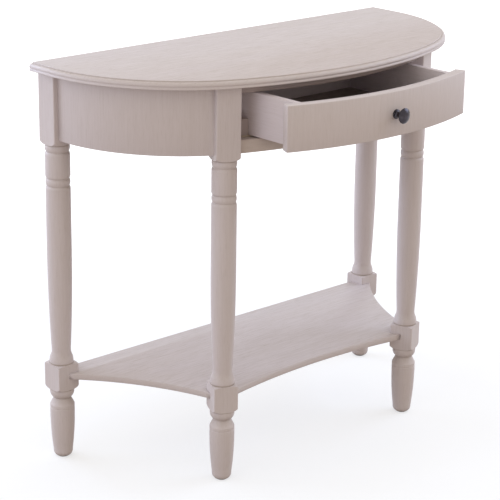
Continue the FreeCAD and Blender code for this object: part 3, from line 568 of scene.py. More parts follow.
def turning_tree():
    """Node tree that turns an outline on a lathe, leaves square blocks in it and sets out copies.

    A point of the outline with a reach of 1 lies on the square blank and one with 0 on the turned
    surface; its bend is the radius on which a shoulder runs out to the blank, up or, if negative, down.
    """
    if "turned_pieces" in bpy.data.node_groups:
        return bpy.data.node_groups["turned_pieces"]
    tree = bpy.data.node_groups.new("turned_pieces", "GeometryNodeTree")
    for name, kind in (
        ("Geometry", "Geometry"), ("Outline", "Object"), ("Places", "Object"), ("Segments", "Int"),
        ("Half Block", "Float"), ("Corner Ease", "Float"), ("Material", "Material"),
    ):
        tree.interface.new_socket(name, in_out="INPUT", socket_type="NodeSocket" + kind)
    tree.interface.new_socket("Geometry", in_out="OUTPUT", socket_type="NodeSocketGeometry")
    given = node(tree, "NodeGroupInput").outputs

    def do(operation, *values):
        return link_math(tree, operation, *values)

    outline = node(tree, "GeometryNodeObjectInfo", {"Object": given["Outline"]}).outputs["Geometry"]
    size = node(tree, "GeometryNodeAttributeDomainSize", {"Geometry": outline}, component="MESH")
    count = size.outputs["Point Count"]
    rows = {"Vertices X": count, "Vertices Y": do("ADD", given["Segments"], 1)}
    grid = node(tree, "GeometryNodeMeshGrid", rows).outputs["Mesh"]
    position = node(tree, "GeometryNodeInputPosition").outputs["Position"]
    # The grid runs from -0.5 to 0.5 both ways: down the outline and round the turning.
    on_grid = parts_of(tree, position)
    down = do("ADD", on_grid["X"], 0.5)
    index = do("ROUND", do("MULTIPLY", down, do("SUBTRACT", count, 1)))

    even = do("MULTIPLY", do("ADD", on_grid["Y"], 0.5), 2 * math.pi)
    crowd = do("MULTIPLY", do("SINE", do("MULTIPLY", even, BLOCK_SIDES)), CROWDING / BLOCK_SIDES)
    about = do("ADD", even, crowd)
    to_corner = math.pi / BLOCK_SIDES
    off_face = do("ABSOLUTE", do("WRAP", about, to_corner, -to_corner))
    half, corner = given["Half Block"], given["Corner Ease"]
    flat = do("DIVIDE", half, do("COSINE", off_face))
    inner = do("SUBTRACT", half, corner)
    far = do("MULTIPLY", inner, math.sqrt(2))
    off_corner = do("SUBTRACT", to_corner, off_face)
    beside = do("MULTIPLY", far, do("SINE", off_corner))
    under = do("SUBTRACT", do("MULTIPLY", corner, corner), do("MULTIPLY", beside, beside))
    ahead = do("MULTIPLY", far, do("COSINE", off_corner))
    rounded = do("ADD", ahead, do("SQRT", do("MAXIMUM", under, 0)))
    at_corner = do("GREATER_THAN", do("MULTIPLY", half, do("TANGENT", off_face)), inner)
    on_flat = do("SUBTRACT", 1, at_corner)
    square = do("ADD", do("MULTIPLY", rounded, at_corner), do("MULTIPLY", flat, on_flat))

    turned = parts_of(tree, sample(tree, outline, position, index, "FLOAT_VECTOR"))
    reach, bend, recess = [
        sample(tree, outline, named_value(tree, name, "FLOAT"), index, "FLOAT")
        for name in ("reach", "bend", "recess")
    ]
    spread = do("MULTIPLY", reach, do("SUBTRACT", square, turned["X"]))
    radius = do("ADD", turned["X"], spread)
    below = do("SUBTRACT", do("MULTIPLY", bend, bend), do("MULTIPLY", spread, spread))
    depth = do("SQRT", do("MAXIMUM", below, 0))
    rise = do("SUBTRACT", do("ABSOLUTE", bend), depth)
    height = do("MULTIPLY_ADD", do("SIGN", bend), rise, turned["Z"])
    x = do("MULTIPLY", radius, do("COSINE", about))
    y = do("MULTIPLY", radius, do("SINE", about))
    geometry = keep_value(tree, grid, "recess", "FLOAT", "POINT", recess)
    placed = {"Geometry": geometry, "Position": link_vector(tree, x, y, height)}
    geometry = node(tree, "GeometryNodeSetPosition", placed).outputs["Geometry"]
    seam = node(tree, "GeometryNodeMergeByDistance", {"Geometry": geometry, "Distance": MERGE})
    local = parts_of(tree, position)
    along = link_vector(tree, local["Z"], local["X"], local["Y"])
    geometry = keep_value(tree, seam.outputs["Geometry"], "grain", "FLOAT_VECTOR", "POINT", along)

    places = node(tree, "GeometryNodeObjectInfo", {"Object": given["Places"]}).outputs["Geometry"]
    euler = {"Euler": named_value(tree, "turn", "FLOAT_VECTOR")}
    turn = node(tree, "FunctionNodeEulerToRotation", euler).outputs["Rotation"]
    inputs = {"Points": places, "Instance": geometry, "Rotation": turn}
    copies = node(tree, "GeometryNodeInstanceOnPoints", inputs).outputs["Instances"]
    number = node(tree, "GeometryNodeInputIndex").outputs["Index"]
    geometry = keep_value(tree, copies, "number", "FLOAT", "INSTANCE", number)
    geometry = node(tree, "GeometryNodeRealizeInstances", {"Geometry": geometry}).outputs["Geometry"]
    number, grain = named_value(tree, "number", "FLOAT"), named_value(tree, "grain", "FLOAT_VECTOR")
    inputs = {0: number, 1: COPY_START, 2: grain}
    moved = node(tree, "ShaderNodeVectorMath", inputs, operation="MULTIPLY_ADD").outputs["Vector"]
    geometry = keep_value(tree, geometry, "grain", "FLOAT_VECTOR", "POINT", moved)
    inputs = {"Geometry": geometry, "Material": given["Material"]}
    painted = node(tree, "GeometryNodeSetMaterial", inputs).outputs["Geometry"]
    node(tree, "NodeGroupOutput", {"Geometry": painted})
    return tree


def turned_pieces(name, outline, places, segments, material, crease, half_block=1.0, corner_ease=0.0):
    """Runs the turning tree: outline rows are (radius, height, reach, bend), places (point, turn)."""
    radii = np.array([row[0] for row in outline])
    heights = np.array([row[1] for row in outline])
    reach = np.array([row[2] for row in outline])
    # Notches get glaze with painted shade, darker the deeper they lie under the widest turning nearby.
    deep = []
    for i in range(len(outline)):
        near = (np.abs(heights - heights[i]) < NOTCH_REACH) & (reach == 0)
        deep.append(0.0 if reach[i] else min(1.0, (max(radii[near]) - radii[i]) / NOTCH_DEPTH))
    # Painted shade: a dark line in the gap where a turned stretch meets a block.
    for i in range(1, len(outline) - 1):
        if reach[i] == 0 and reach[i - 1] + reach[i + 1] > 0:
            fade = SEAM_SHADE * (1 - np.abs(heights - heights[i]) / SEAM_SHADE_FADE)
            deep = np.where(reach == 0, np.maximum(deep, fade), deep)
    line = bpy.data.meshes.new("outline")
    pairs = [(i, i + 1) for i in range(len(outline) - 1)]
    line.from_pydata([(row[0], 0, row[1]) for row in outline], pairs, [])
    bends = [row[3] for row in outline]
    for key, numbers in (("reach", list(reach)), ("bend", bends), ("recess", deep)):
        line.attributes.new(key, "FLOAT", "POINT").data.foreach_set("value", numbers)
    spots = bpy.data.meshes.new("places")
    spots.from_pydata([tuple(point) for point, turn in places], [], [])
    turns = np.array([turn for point, turn in places], dtype=np.float32)
    spots.attributes.new("turn", "FLOAT_VECTOR", "POINT").data.foreach_set("vector", turns.ravel())
    helpers = [bpy.data.objects.new("outline", line), bpy.data.objects.new("places", spots)]
    made = bpy.data.objects.new(name, bpy.data.meshes.new(name))
    for helper in helpers + [made]:
        bpy.context.scene.collection.objects.link(helper)
    tree = turning_tree()
    values = {
        "Outline": helpers[0], "Places": helpers[1], "Segments": segments,
        "Half Block": half_block, "Corner Ease": corner_ease, "Material": material,
    }
    lathe = made.modifiers.new("turning", "NODES")
    lathe.node_group = tree
    for item in tree.interface.items_tree:
        if item.in_out == "INPUT" and item.name in values:
            lathe[item.identifier] = values[item.name]
    settle(made)
    for helper in helpers:
        mesh = helper.data
        bpy.data.objects.remove(helper)
        bpy.data.meshes.remove(mesh)
    clean(made.data)
    made.data.shade_smooth()
    made.data.set_sharp_from_angle(angle=crease)
    return made


def turned_rows(shares, low, high, unit):
    """Outline rows of one turned stretch, from its top down."""
    rows = []
    for here, following in zip(shares, shares[1:] + (None,)):
        start = Vector((here[1] * unit, low + here[0] * (high - low)))
        if following is None or len(here) == 2:
            rows.append((start.x, start.y, 0, 0))
            continue
        end = Vector((following[1] * unit, low + following[0] * (high - low)))
        radius, way = here[2] * unit, here[3]
        chord = end - start
        normal = Vector((-chord.y, chord.x)).normalized()
        off_chord = math.sqrt(max(0.0, radius ** 2 - (chord.length / 2) ** 2))
        centre = (start + end) / 2 + normal * way * off_chord
        first, sweep = turn_between(centre, start, end)
        turns, lengths = abs(sweep) / ARC_TURN, chord.length / ARC_LENGTH
        steps = max(ARC_FEWEST, math.ceil(turns), math.ceil(lengths))
        for i in range(steps):
            a = first + sweep * i / steps
            rows.append((centre.x + radius * math.cos(a), centre.y + radius * math.sin(a), 0, 0))
    return rows


def leg_rows():
    """Outline of a whole leg from the top down, with its two square blocks and their shoulders."""
    t, p = sizes(), plan()
    unit = p.half_block
    foot_low = LEG_LOW.z
    foot_high = foot_low + t.foot
    column_low = foot_high + t.shelf_block
    column_high = p.under_top - t.apron_block
    column = turned_rows(COLUMN, column_low, column_high, unit)
    foot = turned_rows(FOOT, foot_low, foot_high, unit)
    rows = [(0, p.under_top, 0, 0), (unit, p.under_top, 1, 0)]
    rows += [(column[0][0], column_high, ring, t.shoulder) for ring in SHOULDER_RINGS] + column
    rows += [(column[-1][0], column_low, ring, -t.crown) for ring in reversed(SHOULDER_RINGS)]
    rows += [(foot[0][0], foot_high, ring, t.shoulder) for ring in SHOULDER_RINGS] + foot
    rows.append((0, foot_low, 0, 0))
    return rows


def shader(name):
    """A new node material; returns it, its tree and its shader node."""
    made = bpy.data.materials.new(name)
    made.use_nodes = True
    return made, made.node_tree, made.node_tree.nodes["Principled BSDF"]


def noise(tree, vector, pattern):
    """The noise of a pattern, stretched along the grain; returns its value."""
    scale = (pattern.along, pattern.across, pattern.across)
    stretch = node(tree, "ShaderNodeMapping", {"Vector": vector, "Scale": scale})
    return node(tree, "ShaderNodeTexNoise", {
        "Vector": stretch.outputs["Vector"], "Scale": 1.0,
        "Detail": pattern.detail, "Roughness": pattern.roughness,
    }).outputs["Fac"]


def spread_range(tree, value, low, high, start, end):
    """The value carried from one range to another, held at its ends."""
    return node(tree, "ShaderNodeMapRange", {
        "Value": value, "From Min": low, "From Max": high, "To Min": start, "To Max": end,
    }).outputs["Result"]


def pattern_share(tree, value, pattern, most=1.0):
    """How much of a pattern shows, up to a share of what it can show."""
    return spread_range(tree, value, pattern.low, pattern.high, 0.0, pattern.most * most)


def relief(tree, bsdf, height, strength, distance):
    """Gives a finish a fine relief."""
    inputs = {"Height": height, "Strength": strength, "Distance": distance}
    feed(tree, bsdf, {"Normal": node(tree, "ShaderNodeBump", inputs).outputs["Normal"]})


def mix(tree, factor, first, second):
    """A colour between two colours or sockets."""
    colours = []
    for value in (first, second):
        colours.append(value if isinstance(value, bpy.types.NodeSocket) else (*value, 1.0))
    inputs = {0: factor, 6: colours[0], 7: colours[1]}
    return node(tree, "ShaderNodeMix", inputs, data_type="RGBA").outputs[2]


def grain_vector(tree, turn):
    """The board's own grain attribute, or Object coordinates turned so that X runs along the grain."""
    if turn is None:
        return node(tree, "ShaderNodeAttribute", attribute_name="grain").outputs["Vector"]
    inputs = {"Vector": node(tree, "ShaderNodeTexCoord").outputs["Object"], "Rotation": turn}
    return node(tree, "ShaderNodeMapping", inputs).outputs["Vector"]


def flat_paint(name, grain):
    """Paint of a level board, which shows less of its grain on its edges."""
    return painted_wood(name, grain, edge_grain=finish_colours().upright_grain)


def upright_paint():
    """Paint of the legs, the aprons and the drawer's front."""
    return painted_wood("cream_paint_upright", finish_colours().upright_grain)


def painted_wood(name, grain, turn=None, tone=None, edge_grain=None):
    """Cream paint brushed thinly on open-grained wood, with glaze in the pores, glaze with painted shade
    in the notches, and painted shade in the seams and the step.
    """
    if name in bpy.data.materials:
        return bpy.data.materials[name]
    c = finish_colours()
    made, tree, bsdf = shader(name)
    vector = grain_vector(tree, turn)
    level = None
    if edge_grain is not None:
        normal = parts_of(tree, node(tree, "ShaderNodeNewGeometry").outputs["Normal"])
        upward = link_math(tree, "ABSOLUTE", normal["Z"])
        level = spread_range(tree, upward, *LEVEL_RANGE, edge_grain / grain, 1.0)

    def shown(value, pattern):
        part = pattern_share(tree, value, pattern, grain)
        return part if level is None else link_math(tree, "MULTIPLY", part, level)

    broad, band, streak, pores = [noise(tree, vector, kind) for kind in (BROAD, BAND, STREAK, PORES)]
    pore_share = shown(pores, PORES)
    # The recess attribute holds painted shade in the seams and the step, and glaze with painted shade in
    # the notches.
    recess = node(tree, "ShaderNodeAttribute", attribute_name="recess").outputs["Fac"]
    recess_share = link_math(tree, "MULTIPLY", recess, RECESS_SHADE_SHARE)
    mixed = mix(tree, shown(broad, BROAD), c.paint if tone is None else tone, c.paint_warm)
    mixed = mix(tree, shown(band, BAND), mixed, c.paint_deep)
    mixed = mix(tree, shown(streak, STREAK), mixed, c.paint_deep)
    mixed = mix(tree, pore_share, mixed, c.glaze_and_shade)
    mixed = mix(tree, recess_share, mixed, c.glaze_and_shade)
    roughness = spread_range(tree, streak, *GRAIN_GLOSS, *PAINT_ROUGHNESS)
    feed(tree, bsdf, {"Base Color": mixed, "Roughness": roughness})
    depth = link_math(tree, "SUBTRACT", link_math(tree, "MULTIPLY", streak, STREAK_RELIEF), pore_share)
    relief(tree, bsdf, depth, *PAINT_RELIEF)
    return made


def bare_wood(name, turn, light, deep):
    """Unpainted wood of the inner pieces, in a light and a deep tone."""
    if name in bpy.data.materials:
        return bpy.data.materials[name]
    made, tree, bsdf = shader(name)
    vector = grain_vector(tree, turn)
    rings, fibre = noise(tree, vector, RINGS), noise(tree, vector, FIBRE)
    mixed = mix(tree, pattern_share(tree, rings, RINGS), light, deep)
    mixed = mix(tree, pattern_share(tree, fibre, FIBRE), mixed, deep)
    roughness = spread_range(tree, rings, *GRAIN_GLOSS, *WOOD_ROUGHNESS)
    feed(tree, bsdf, {"Base Color": mixed, "Roughness": roughness})
    relief(tree, bsdf, fibre, *WOOD_RELIEF)
    return made


def plain_finish(name, tone, metallic, low, high, scale):
    """Metal or plastic with a fine uneven gloss between two roughness values."""
    if name in bpy.data.materials:
        return bpy.data.materials[name]
    made, tree, bsdf = shader(name)
    clouds = CLOUDS._replace(along=scale, across=scale)
    uneven = noise(tree, node(tree, "ShaderNodeTexCoord").outputs["Object"], clouds)
    darker = tuple(CLOUD_SHARE * part for part in tone)
    mixed = mix(tree, pattern_share(tree, uneven, clouds), tone, darker)
    roughness = spread_range(tree, uneven, *CLOUD_GLOSS, low, high)
    feed(tree, bsdf, {"Base Color": mixed, "Roughness": roughness, "Metallic": metallic})
    relief(tree, bsdf, uneven, *PLAIN_RELIEF)
    return made


class DEMILUNE_OT_tabletop(bpy.types.Operator):
    """Makes the half-round top with its step, ovolo, groove and lip"""

    bl_idname = "demilune.tabletop"
    bl_label = "Tabletop"

    def execute(self, context):
        t, p = sizes(), plan()
        rise = t.top_thickness - t.step
        edge = [(0.0, 0.0)]
        for depth, height in GROOVE_SHARES:
            edge.append((depth * t.groove, t.groove_height + height * t.groove))
        edge.append((0.0, rise - t.ovolo))
        for i in range(1, OVOLO_STEPS + 1):
            a = QUARTER * i / OVOLO_STEPS
            edge.append((t.ovolo * (1 - math.cos(a)), rise - t.ovolo * (1 - math.sin(a))))
        edge += [(t.ovolo + t.ledge, rise), (t.ovolo + t.ledge, t.top_thickness)]
        left_centre, right_centre = (-p.corner_x, p.corner_y), (p.corner_x, p.corner_y)
        vertices = []
        for inset, height in edge:
            radius, bow = p.corner_radius - inset, t.front_radius - inset
            ring = [Vector((inset - p.half, p.rear))]
            ring += round_points(left_centre, radius, -QUARTER, -p.joint, TOP_SIDE_POINTS)[:-1]
            ring += round_points((0, p.front_y), bow, -p.joint, p.joint, TOP_FRONT_POINTS)
            ring += round_points(right_centre, radius, p.joint, QUARTER, TOP_SIDE_POINTS)[1:]
            ring.append(Vector((p.half - inset, p.rear)))
            vertices += [(*point, p.under_top + height) for point in ring]
        count = len(ring)
        rows = len(edge)
        faces = [tuple(range(count)), tuple(range((rows - 1) * count, rows * count))]
        for i in range(rows - 1):
            for j in range(count - 1):
                k = i * count + j
                faces.append((k, k + 1, k + count + 1, k + count))
        left = [i * count for i in range(rows)]
        right = [i * count + count - 1 for i in range(rows)]
        faces.append(tuple(left + right[::-1]))
        made = new_object("tabletop_moulded", vertices, faces)
        ease(made, t.top_ease)
        lay_grain(made, lambda x, y, z: (x, y, z))
        # Painted shade: the lower part of the step's riser gets a dark line.
        over_ledge = np.array([vertex.co.z for vertex in made.data.vertices]) - p.under_top - rise
        shaded_step = (over_ledge > -MERGE) & (over_ledge < t.step * STEP_SHADE_SHARE)
        recess = made.data.attributes.new("recess", "FLOAT", "POINT")
        recess.data.foreach_set("value", np.where(shaded_step, STEP_SHADE, 0.0).astype(np.float32))
        paint = flat_paint("cream_paint_top", finish_colours().top_grain)
        finish_piece(made, paint, "table", "painted_wood", "tabletop")
        return {"FINISHED"}


class DEMILUNE_OT_legs(bpy.types.Operator):
    """Turns the four legs with their beads, notches, shoulders and feet"""

    bl_idname = "demilune.legs"
    bl_label = "Legs"

    def execute(self, context):
        t, p = sizes(), plan()
        rows = leg_rows()
        front, rear = [], []
        for side in (-1, 1):
            front.append((Vector((side * p.front_leg.x, p.front_leg.y, 0)), (0, 0, side * p.turn)))
            rear.append((Vector((side * p.rear_leg.x, p.rear_leg.y, 0)), (0, 0, 0)))
        for name, places, nodes in (
            ("front_legs_turned", front, ("front_left_leg", "front_right_leg")),
            ("rear_legs_turned", rear, ("rear_left_leg", "rear_right_leg")),
        ):
            made = turned_pieces(
                name, rows, places, LEG_SEGMENTS, upright_paint(), LEG_SHARP, p.half_block, t.block_ease
            )
            finish_piece(made, upright_paint(), "table", "painted_wood", *nodes)
        return {"FINISHED"}


class DEMILUNE_OT_aprons(bpy.types.Operator):
    """Makes the curved side aprons, the rails over and under the drawer and the rear apron"""

    bl_idname = "demilune.aprons"
    bl_label = "Aprons and rails"

    def execute(self, context):
        t, p = sizes(), plan()
        low = p.under_top - t.apron_height
        rear_end = p.rear_leg.y - p.half_block
        for side, name in ((-1, "left_side_apron"), (1, "right_side_apron")):
            lines = []
            for depth in (0, t.apron_thickness):
                radius = p.side_face - depth
                start = p.turn + math.asin(p.half_block / radius)
                line = round_points((p.corner_x, p.corner_y), radius, start, QUARTER, APRON_POINTS)
                line.append(Vector((p.corner_x + radius, rear_end)))
                lines.append([Vector((side * point.x, point.y)) for point in line])
            made = board(name + "_bent", lines[0], lines[1], low, p.under_top)
            ease(made, t.apron_ease, level_only=True)

            def along(x, y, z, side=side):
                out, back = side * x - p.corner_x, y - p.corner_y
                turn = np.minimum(np.arctan2(out, -back), QUARTER)
                return z, p.side_face * turn + np.maximum(0, back), np.hypot(out, back)

            lay_grain(made, along)
            finish_piece(made, upright_paint(), "table", "painted_wood", name)
        c = finish_colours()
        # The upper rail gets a darker tone as painted shade under the top, the lower rail a darker,
        # warmer one as painted shade under the drawer.
        upper_rail_shaded = painted_wood("cream_wash_rail", c.upright_grain, tone=c.upper_rail_and_guide_shade)
        lower_rail_shaded = painted_wood("cream_paint_rail", c.upright_grain, tone=c.lower_rail_shade)
        for name, bottom, top, paint in (
            ("upper_rail", CAP_LOW.z, p.under_top, upper_rail_shaded),
            ("lower_rail", low, RAIL_HIGH.z, lower_rail_shaded),
        ):
            lines = bowed_lines(p, p.front_y, p.face, t.apron_thickness, p.rail_end)
            made = board(name + "_bent", lines[0], lines[1], bottom, top)
            ease(made, t.apron_ease, level_only=True)
            lay_grain(made, lambda x, y, z: (p.face * np.arctan2(x, p.front_y - y), z, y))
            finish_piece(made, paint, "table", "painted_wood", name)
        made = slab("rear_apron_board", APRON_LOW, APRON_HIGH, t.apron_ease)
        lay_grain(made, lambda x, y, z: (x, z, y))
        finish_piece(made, upright_paint(), "table", "painted_wood", "rear_apron")
        return {"FINISHED"}


def bowed_lines(p, centre_y, face, thickness, across):
    """Plan points of the front and the back of a bowed board that ends beside the front legs."""
    lines = []
    for depth in (0, thickness):
        radius = face - depth
        end = p.turn - math.asin(across / radius)
        lines.append(round_points((0, centre_y), radius, -end, end, BOW_POINTS))
    return lines


class DEMILUNE_OT_shelf(bpy.types.Operator):
    """Makes the low shelf with its hollowed edges"""

    bl_idname = "demilune.shelf"
    bl_label = "Shelf"

    def execute(self, context):
        t, p = sizes(), plan()
        h = p.half_block
        middle = Vector((0, p.rear - t.top_depth / 2))
        block_front = p.rear_leg.y - h
        half = [Vector((p.rear_leg.x - h, y)) for y in (SHELF_HIGH.y, block_front)]
        side_start = Vector((p.rear_leg.x, block_front))
        side_end = by_leg(p, 1, h, 0)
        half += bend_between(side_start, side_end, t.shelf_side_bend, middle, SHELF_SIDE_POINTS)
        half += [by_leg(p, 1, h, -h), by_leg(p, 1, -h, -h)]
        left = [Vector((-point.x, point.y)) for point in reversed(half)]
        start, end = by_leg(p, 1, -h, 0), by_leg(p, -1, -h, 0)
        front = bend_between(start, end, t.shelf_front_bend, middle, SHELF_FRONT_POINTS)
        made = prism("shelf_hollowed", half + front + left, SHELF_LOW.z, SHELF_HIGH.z)
        ease(made, t.shelf_ease, level_only=True)
        lay_grain(made, lambda x, y, z: (x + SHELF_START, y, z))
        paint = flat_paint("cream_paint_shelf", finish_colours().shelf_grain)
        finish_piece(made, paint, "table", "painted_wood", "shelf")
        return {"FINISHED"}


class DEMILUNE_OT_drawer(bpy.types.Operator):
    """Makes the drawer's bowed front, its sides and its back"""

    bl_idname = "demilune.drawer"
    bl_label = "Drawer"

    def execute(self, context):
        d, p = drawer_sizes(), plan()
        centre_y = p.front_y - d.opening
        lines = bowed_lines(p, centre_y, p.face, d.front_thickness, p.rail_end + d.gap)
        made = board("drawer_front_bowed", lines[0], lines[1], FRONT_LOW.z, FRONT_HIGH.z)
        ease(made, d.front_ease)
        lay_grain(made, lambda x, y, z: (z, p.face * np.arctan2(x, centre_y - y) + FRONT_START, y))
        finish_piece(made, upright_paint(), "drawer", "painted_wood", "drawer_front")
        c = finish_colours()
        # The drawer's sides and back get a lighter tone as painted light.
        paint = painted_wood("cream_paint_box", c.upright_grain, tone=c.box_painted_light)
        inside = p.face - d.front_thickness
        outer, inner = WALL_HIGH.x, WALL_HIGH.x - d.wall
        for side, name in ((-1, "drawer_left_side"), (1, "drawer_right_side")):
            outline = [Vector((side * outer, WALL_HIGH.y)), Vector((side * inner, WALL_HIGH.y))]
            for x in (inner, outer):
                outline.append(Vector((side * x, centre_y - math.sqrt(inside ** 2 - x ** 2))))
            made = prism(name + "_board", outline, WALL_LOW.z, WALL_HIGH.z)
            ease(made, d.wall_ease, level_only=True)
            lay_grain(made, lambda x, y, z: (y + WALL_START, z, x))
            finish_piece(made, paint, "drawer", "painted_wood", name)
        low, high = [Vector(corner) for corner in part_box("drawer_back")]
        made = slab("drawer_back_board", low, high, d.wall_ease)
        lay_grain(made, lambda x, y, z: (x, z, y))
        finish_piece(made, paint, "drawer", "painted_wood", "drawer_back")
        return {"FINISHED"}


class DEMILUNE_OT_knob(bpy.types.Operator):
    """Turns the drawer's metal knob"""

    bl_idname = "demilune.knob"
    bl_label = "Knob"

    def execute(self, context):
        d = drawer_sizes()
        rim = d.knob_projection - d.knob_crown
        dome = (d.knob_radius ** 2 + d.knob_crown ** 2) / (2 * d.knob_crown)
        widest = math.asin(d.knob_radius / dome)
        rows = []
        for i in range(DOME_STEPS):
            a = widest * i / DOME_STEPS
            rows.append((dome * math.sin(a), d.knob_projection - dome * (1 - math.cos(a)), 0, 0))
        rows += turned_rows(KNOB, 0.0, rim, d.knob_radius) + [(0, 0, 0, 0)]
        seat = Vector((0, KNOB_LOW.y + d.knob_projection, (KNOB_LOW.z + KNOB_HIGH.z) / 2))
        metal = plain_finish(
            "knob_gunmetal", finish_colours().knob, metallic=1.0, low=0.22, high=0.34, scale=180
        )
        places = [(seat, (QUARTER, 0, 0))]
        made = turned_pieces("knob_turned", rows, places, ROUND_SEGMENTS, metal, SHARP)
        finish_piece(made, metal, "drawer", "knob_metal", "drawer_knob")
        return {"FINISHED"}


class DEMILUNE_OT_glides(bpy.types.Operator):
    """Makes the plastic glides under the feet"""

    bl_idname = "demilune.glides"
    bl_label = "Foot glides"

    def execute(self, context):
        t, p = sizes(), plan()
        high, r, e = LEG_LOW.z, t.glide_radius, t.glide_ease
        rows = [(0, high, 0, 0), (r, high, 0, 0), (r, e, 0, 0)]
        for i in range(1, GLIDE_STEPS + 1):
            a = QUARTER * i / GLIDE_STEPS
            rows.append((r - e * (1 - math.cos(a)), e * (1 - math.sin(a)), 0, 0))
        rows.append((0, 0, 0, 0))
        places = []
        for side in (-1, 1):
            places.append((Vector((side * p.front_leg.x, p.front_leg.y, 0)), (0, 0, 0)))
            places.append((Vector((side * p.rear_leg.x, p.rear_leg.y, 0)), (0, 0, 0)))
        plastic = plain_finish(
            "glide_nylon", finish_colours().glide, metallic=0.0, low=0.45, high=0.6, scale=300
        )
        made = turned_pieces("glides_round", rows, places, ROUND_SEGMENTS, plastic, SHARP)
        finish_piece(made, plastic, "table", "glide_plastic", "foot_glides")
        return {"FINISHED"}


class DEMILUNE_OT_inside(bpy.types.Operator):
    """Finishes the solids that stay as they are inside the table and the drawer"""

    bl_idname = "demilune.inside"
    bl_label = "Inner pieces"

    def execute(self, context):
        c = finish_colours()
        lengthwise, crosswise = (0, 0, -QUARTER), (0, 0, 0)
        # The guides get the darker tone as painted shade.
        guides = painted_wood("cream_wash_strips", c.upright_grain, lengthwise, c.upper_rail_and_guide_shade)
        strips = bare_wood("bare_wood_strips", lengthwise, c.bare_wood, c.bare_wood_deep)
        dowels = bare_wood("bare_wood_dowels", crosswise, c.bare_wood, c.bare_wood_deep)
        panel = bare_wood("bare_wood_panel", crosswise, c.panel, c.panel_deep)
        steel = plain_finish("zinc_steel", c.screw, metallic=1.0, low=0.25, high=0.45, scale=400)
        for name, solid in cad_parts.items():
            if not solid.visible_get() or solid.hide_render:
                continue
            if name.endswith("_guide"):
                paint_solid(solid, guides)
            elif name.endswith(("_runner", "_kicker")):
                paint_solid(solid, strips)
            elif name.endswith("_dowels"):
                paint_solid(solid, dowels)
            elif name.endswith("_bottom"):
                paint_solid(solid, panel)
            elif "screw" in name:
                paint_solid(solid, steel)
        return {"FINISHED"}


def paint_solid(solid, material):
    """Puts a material in the slots of a solid that is shown as it is."""
    for slot in solid.material_slots:
        slot.material = material
    if not solid.material_slots:
        solid.data.materials.append(material)


class DEMILUNE_OT_stage(bpy.types.Operator):
    """Sets the floor, the lights, the room and the camera"""

    bl_idname = "demilune.stage"
    bl_label = "Stage"

    def execute(self, context):
        s = context.scene.demilune_stage
        scene = context.scene
        r = FLOOR_REACH
        corners = [(-r, -r, 0), (r, -r, 0), (r, r, 0), (-r, r, 0)]
        floor = new_object("floor", corners, [(0, 1, 2, 3)])
        made, tree, bsdf = shader("floor_white")
        placed = node(tree, "ShaderNodeTexCoord").outputs["Object"]
        away = node(tree, "ShaderNodeVectorMath", {0: placed}, operation="LENGTH").outputs["Value"]
        glow = spread_range(tree, away, *GLOW_RANGE, s.floor_glow, 1.0)
        feed(tree, bsdf, {
            "Base Color": mix(tree, seen(tree), s.bounce, s.floor),
            "Roughness": FLOOR_ROUGHNESS,
            "Specular IOR Level": FLOOR_SPECULAR,
            "Emission Color": (*WHITE, 1),
            "Emission Strength": link_math(tree, "MULTIPLY", seen(tree), glow),
        })
        floor.data.materials.append(made)

        world = bpy.data.worlds.new("room")
        world.use_nodes = True
        tree = world.node_tree
        looked_at = seen(tree)
        feed(tree, tree.nodes["Background"], {
            "Color": mix(tree, looked_at, s.room_colour, WHITE),
            "Strength": link_math(tree, "MULTIPLY_ADD", looked_at, 1 - s.room, s.room),
        })
        scene.world = world

        for name, place, width, watts in (
            ("left_light", (-3.0, 0.2, 1.3), 2.8, s.left_power),
            ("right_light", (2.6, -0.8, 2.0), 2.4, s.right_power),
            ("rear_light", (-1.25, 2.7, 1.5), 2.8, s.rear_power),
        ):
            lamp = bpy.data.lights.new(name, "AREA")
            lamp.shape = "RECTANGLE"
            lamp.size = width
            lamp.size_y = LAMP_HEIGHT
            lamp.energy = watts
            lamp.color = s.lamp_colour
            holder = bpy.data.objects.new(name, lamp)
            holder.location = place
            holder.rotation_euler = (LAMP_AIM - Vector(place)).to_track_quat("-Z", "Y").to_euler()
            scene.collection.objects.link(holder)

        camera = bpy.data.cameras.new("camera")
        camera.sensor_width = SENSOR_WIDTH
        camera.lens = s.camera_lens
        camera.clip_end = CLIP_END
        viewer = bpy.data.objects.new("camera", camera)
        yaw, pitch, roll = s.camera_yaw, s.camera_pitch, s.camera_roll
        level = math.cos(pitch)
        ahead = Vector((math.sin(yaw) * level, math.cos(yaw) * level, -math.sin(pitch)))
        right = Vector((math.cos(yaw), -math.sin(yaw), 0))
        up = right.cross(ahead)
        leaned_right = math.cos(roll) * right + math.sin(roll) * up
        leaned_up = math.cos(roll) * up - math.sin(roll) * right
        turn = Matrix((leaned_right, leaned_up, -ahead)).transposed()
        viewer.matrix_world = Matrix.Translation(s.camera_place) @ turn.to_4x4()
        scene.collection.objects.link(viewer)
        scene.camera = viewer
        scene.view_settings.view_transform = "Standard"
        return {"FINISHED"}


def seen(tree):
    """1 for what the camera, a mirror or glass sees, 0 for light that falls on the object."""
    path = node(tree, "ShaderNodeLightPath").outputs
    both = link_math(tree, "MAXIMUM", path["Is Camera Ray"], path["Is Glossy Ray"])
    return link_math(tree, "MAXIMUM", both, path["Is Transmission Ray"])


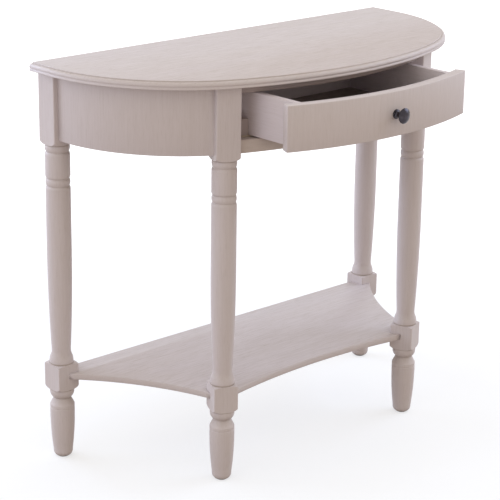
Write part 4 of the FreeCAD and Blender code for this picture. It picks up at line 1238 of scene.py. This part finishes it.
class DEMILUNE_PT_panel(bpy.types.Panel):
    """Lists the pieces, their sizes and their colours"""

    bl_idname = "DEMILUNE_PT_panel"
    bl_label = "Demilune table"
    bl_space_type = "VIEW_3D"
    bl_region_type = "UI"
    bl_category = "Demilune"

    def draw(self, context):
        column = self.layout.column(align=True)
        for operator in OPERATORS:
            column.operator(operator.bl_idname)
        for name in ("demilune_table", "demilune_drawer", "demilune_finish", "demilune_stage"):
            group = getattr(context.scene, name)
            box = self.layout.box()
            for key in group.__annotations__:
                box.prop(group, key)


OPERATORS = (
    DEMILUNE_OT_tabletop,
    DEMILUNE_OT_legs,
    DEMILUNE_OT_aprons,
    DEMILUNE_OT_shelf,
    DEMILUNE_OT_drawer,
    DEMILUNE_OT_knob,
    DEMILUNE_OT_glides,
    DEMILUNE_OT_inside,
    DEMILUNE_OT_stage,
)
GROUPS = (DEMILUNE_PG_table, DEMILUNE_PG_drawer, DEMILUNE_PG_finish, DEMILUNE_PG_stage)


def register():
    """Registers the sizes, the operators and the panel."""
    for made in GROUPS + OPERATORS + (DEMILUNE_PT_panel,):
        bpy.utils.register_class(made)
    bpy.types.Scene.demilune_table = bpy.props.PointerProperty(type=DEMILUNE_PG_table)
    bpy.types.Scene.demilune_drawer = bpy.props.PointerProperty(type=DEMILUNE_PG_drawer)
    bpy.types.Scene.demilune_finish = bpy.props.PointerProperty(type=DEMILUNE_PG_finish)
    bpy.types.Scene.demilune_stage = bpy.props.PointerProperty(type=DEMILUNE_PG_stage)


def unregister():
    """Takes the sizes, the operators and the panel out again."""
    del bpy.types.Scene.demilune_stage
    del bpy.types.Scene.demilune_finish
    del bpy.types.Scene.demilune_drawer
    del bpy.types.Scene.demilune_table
    for made in reversed(GROUPS + OPERATORS + (DEMILUNE_PT_panel,)):
        bpy.utils.unregister_class(made)


def main():
    """Builds the pieces and the stage."""
    register()
    bpy.ops.demilune.tabletop()
    bpy.ops.demilune.legs()
    bpy.ops.demilune.aprons()
    bpy.ops.demilune.shelf()
    bpy.ops.demilune.drawer()
    bpy.ops.demilune.knob()
    bpy.ops.demilune.glides()
    bpy.ops.demilune.inside()
    bpy.ops.demilune.stage()


if __name__ == "__main__":
    main()
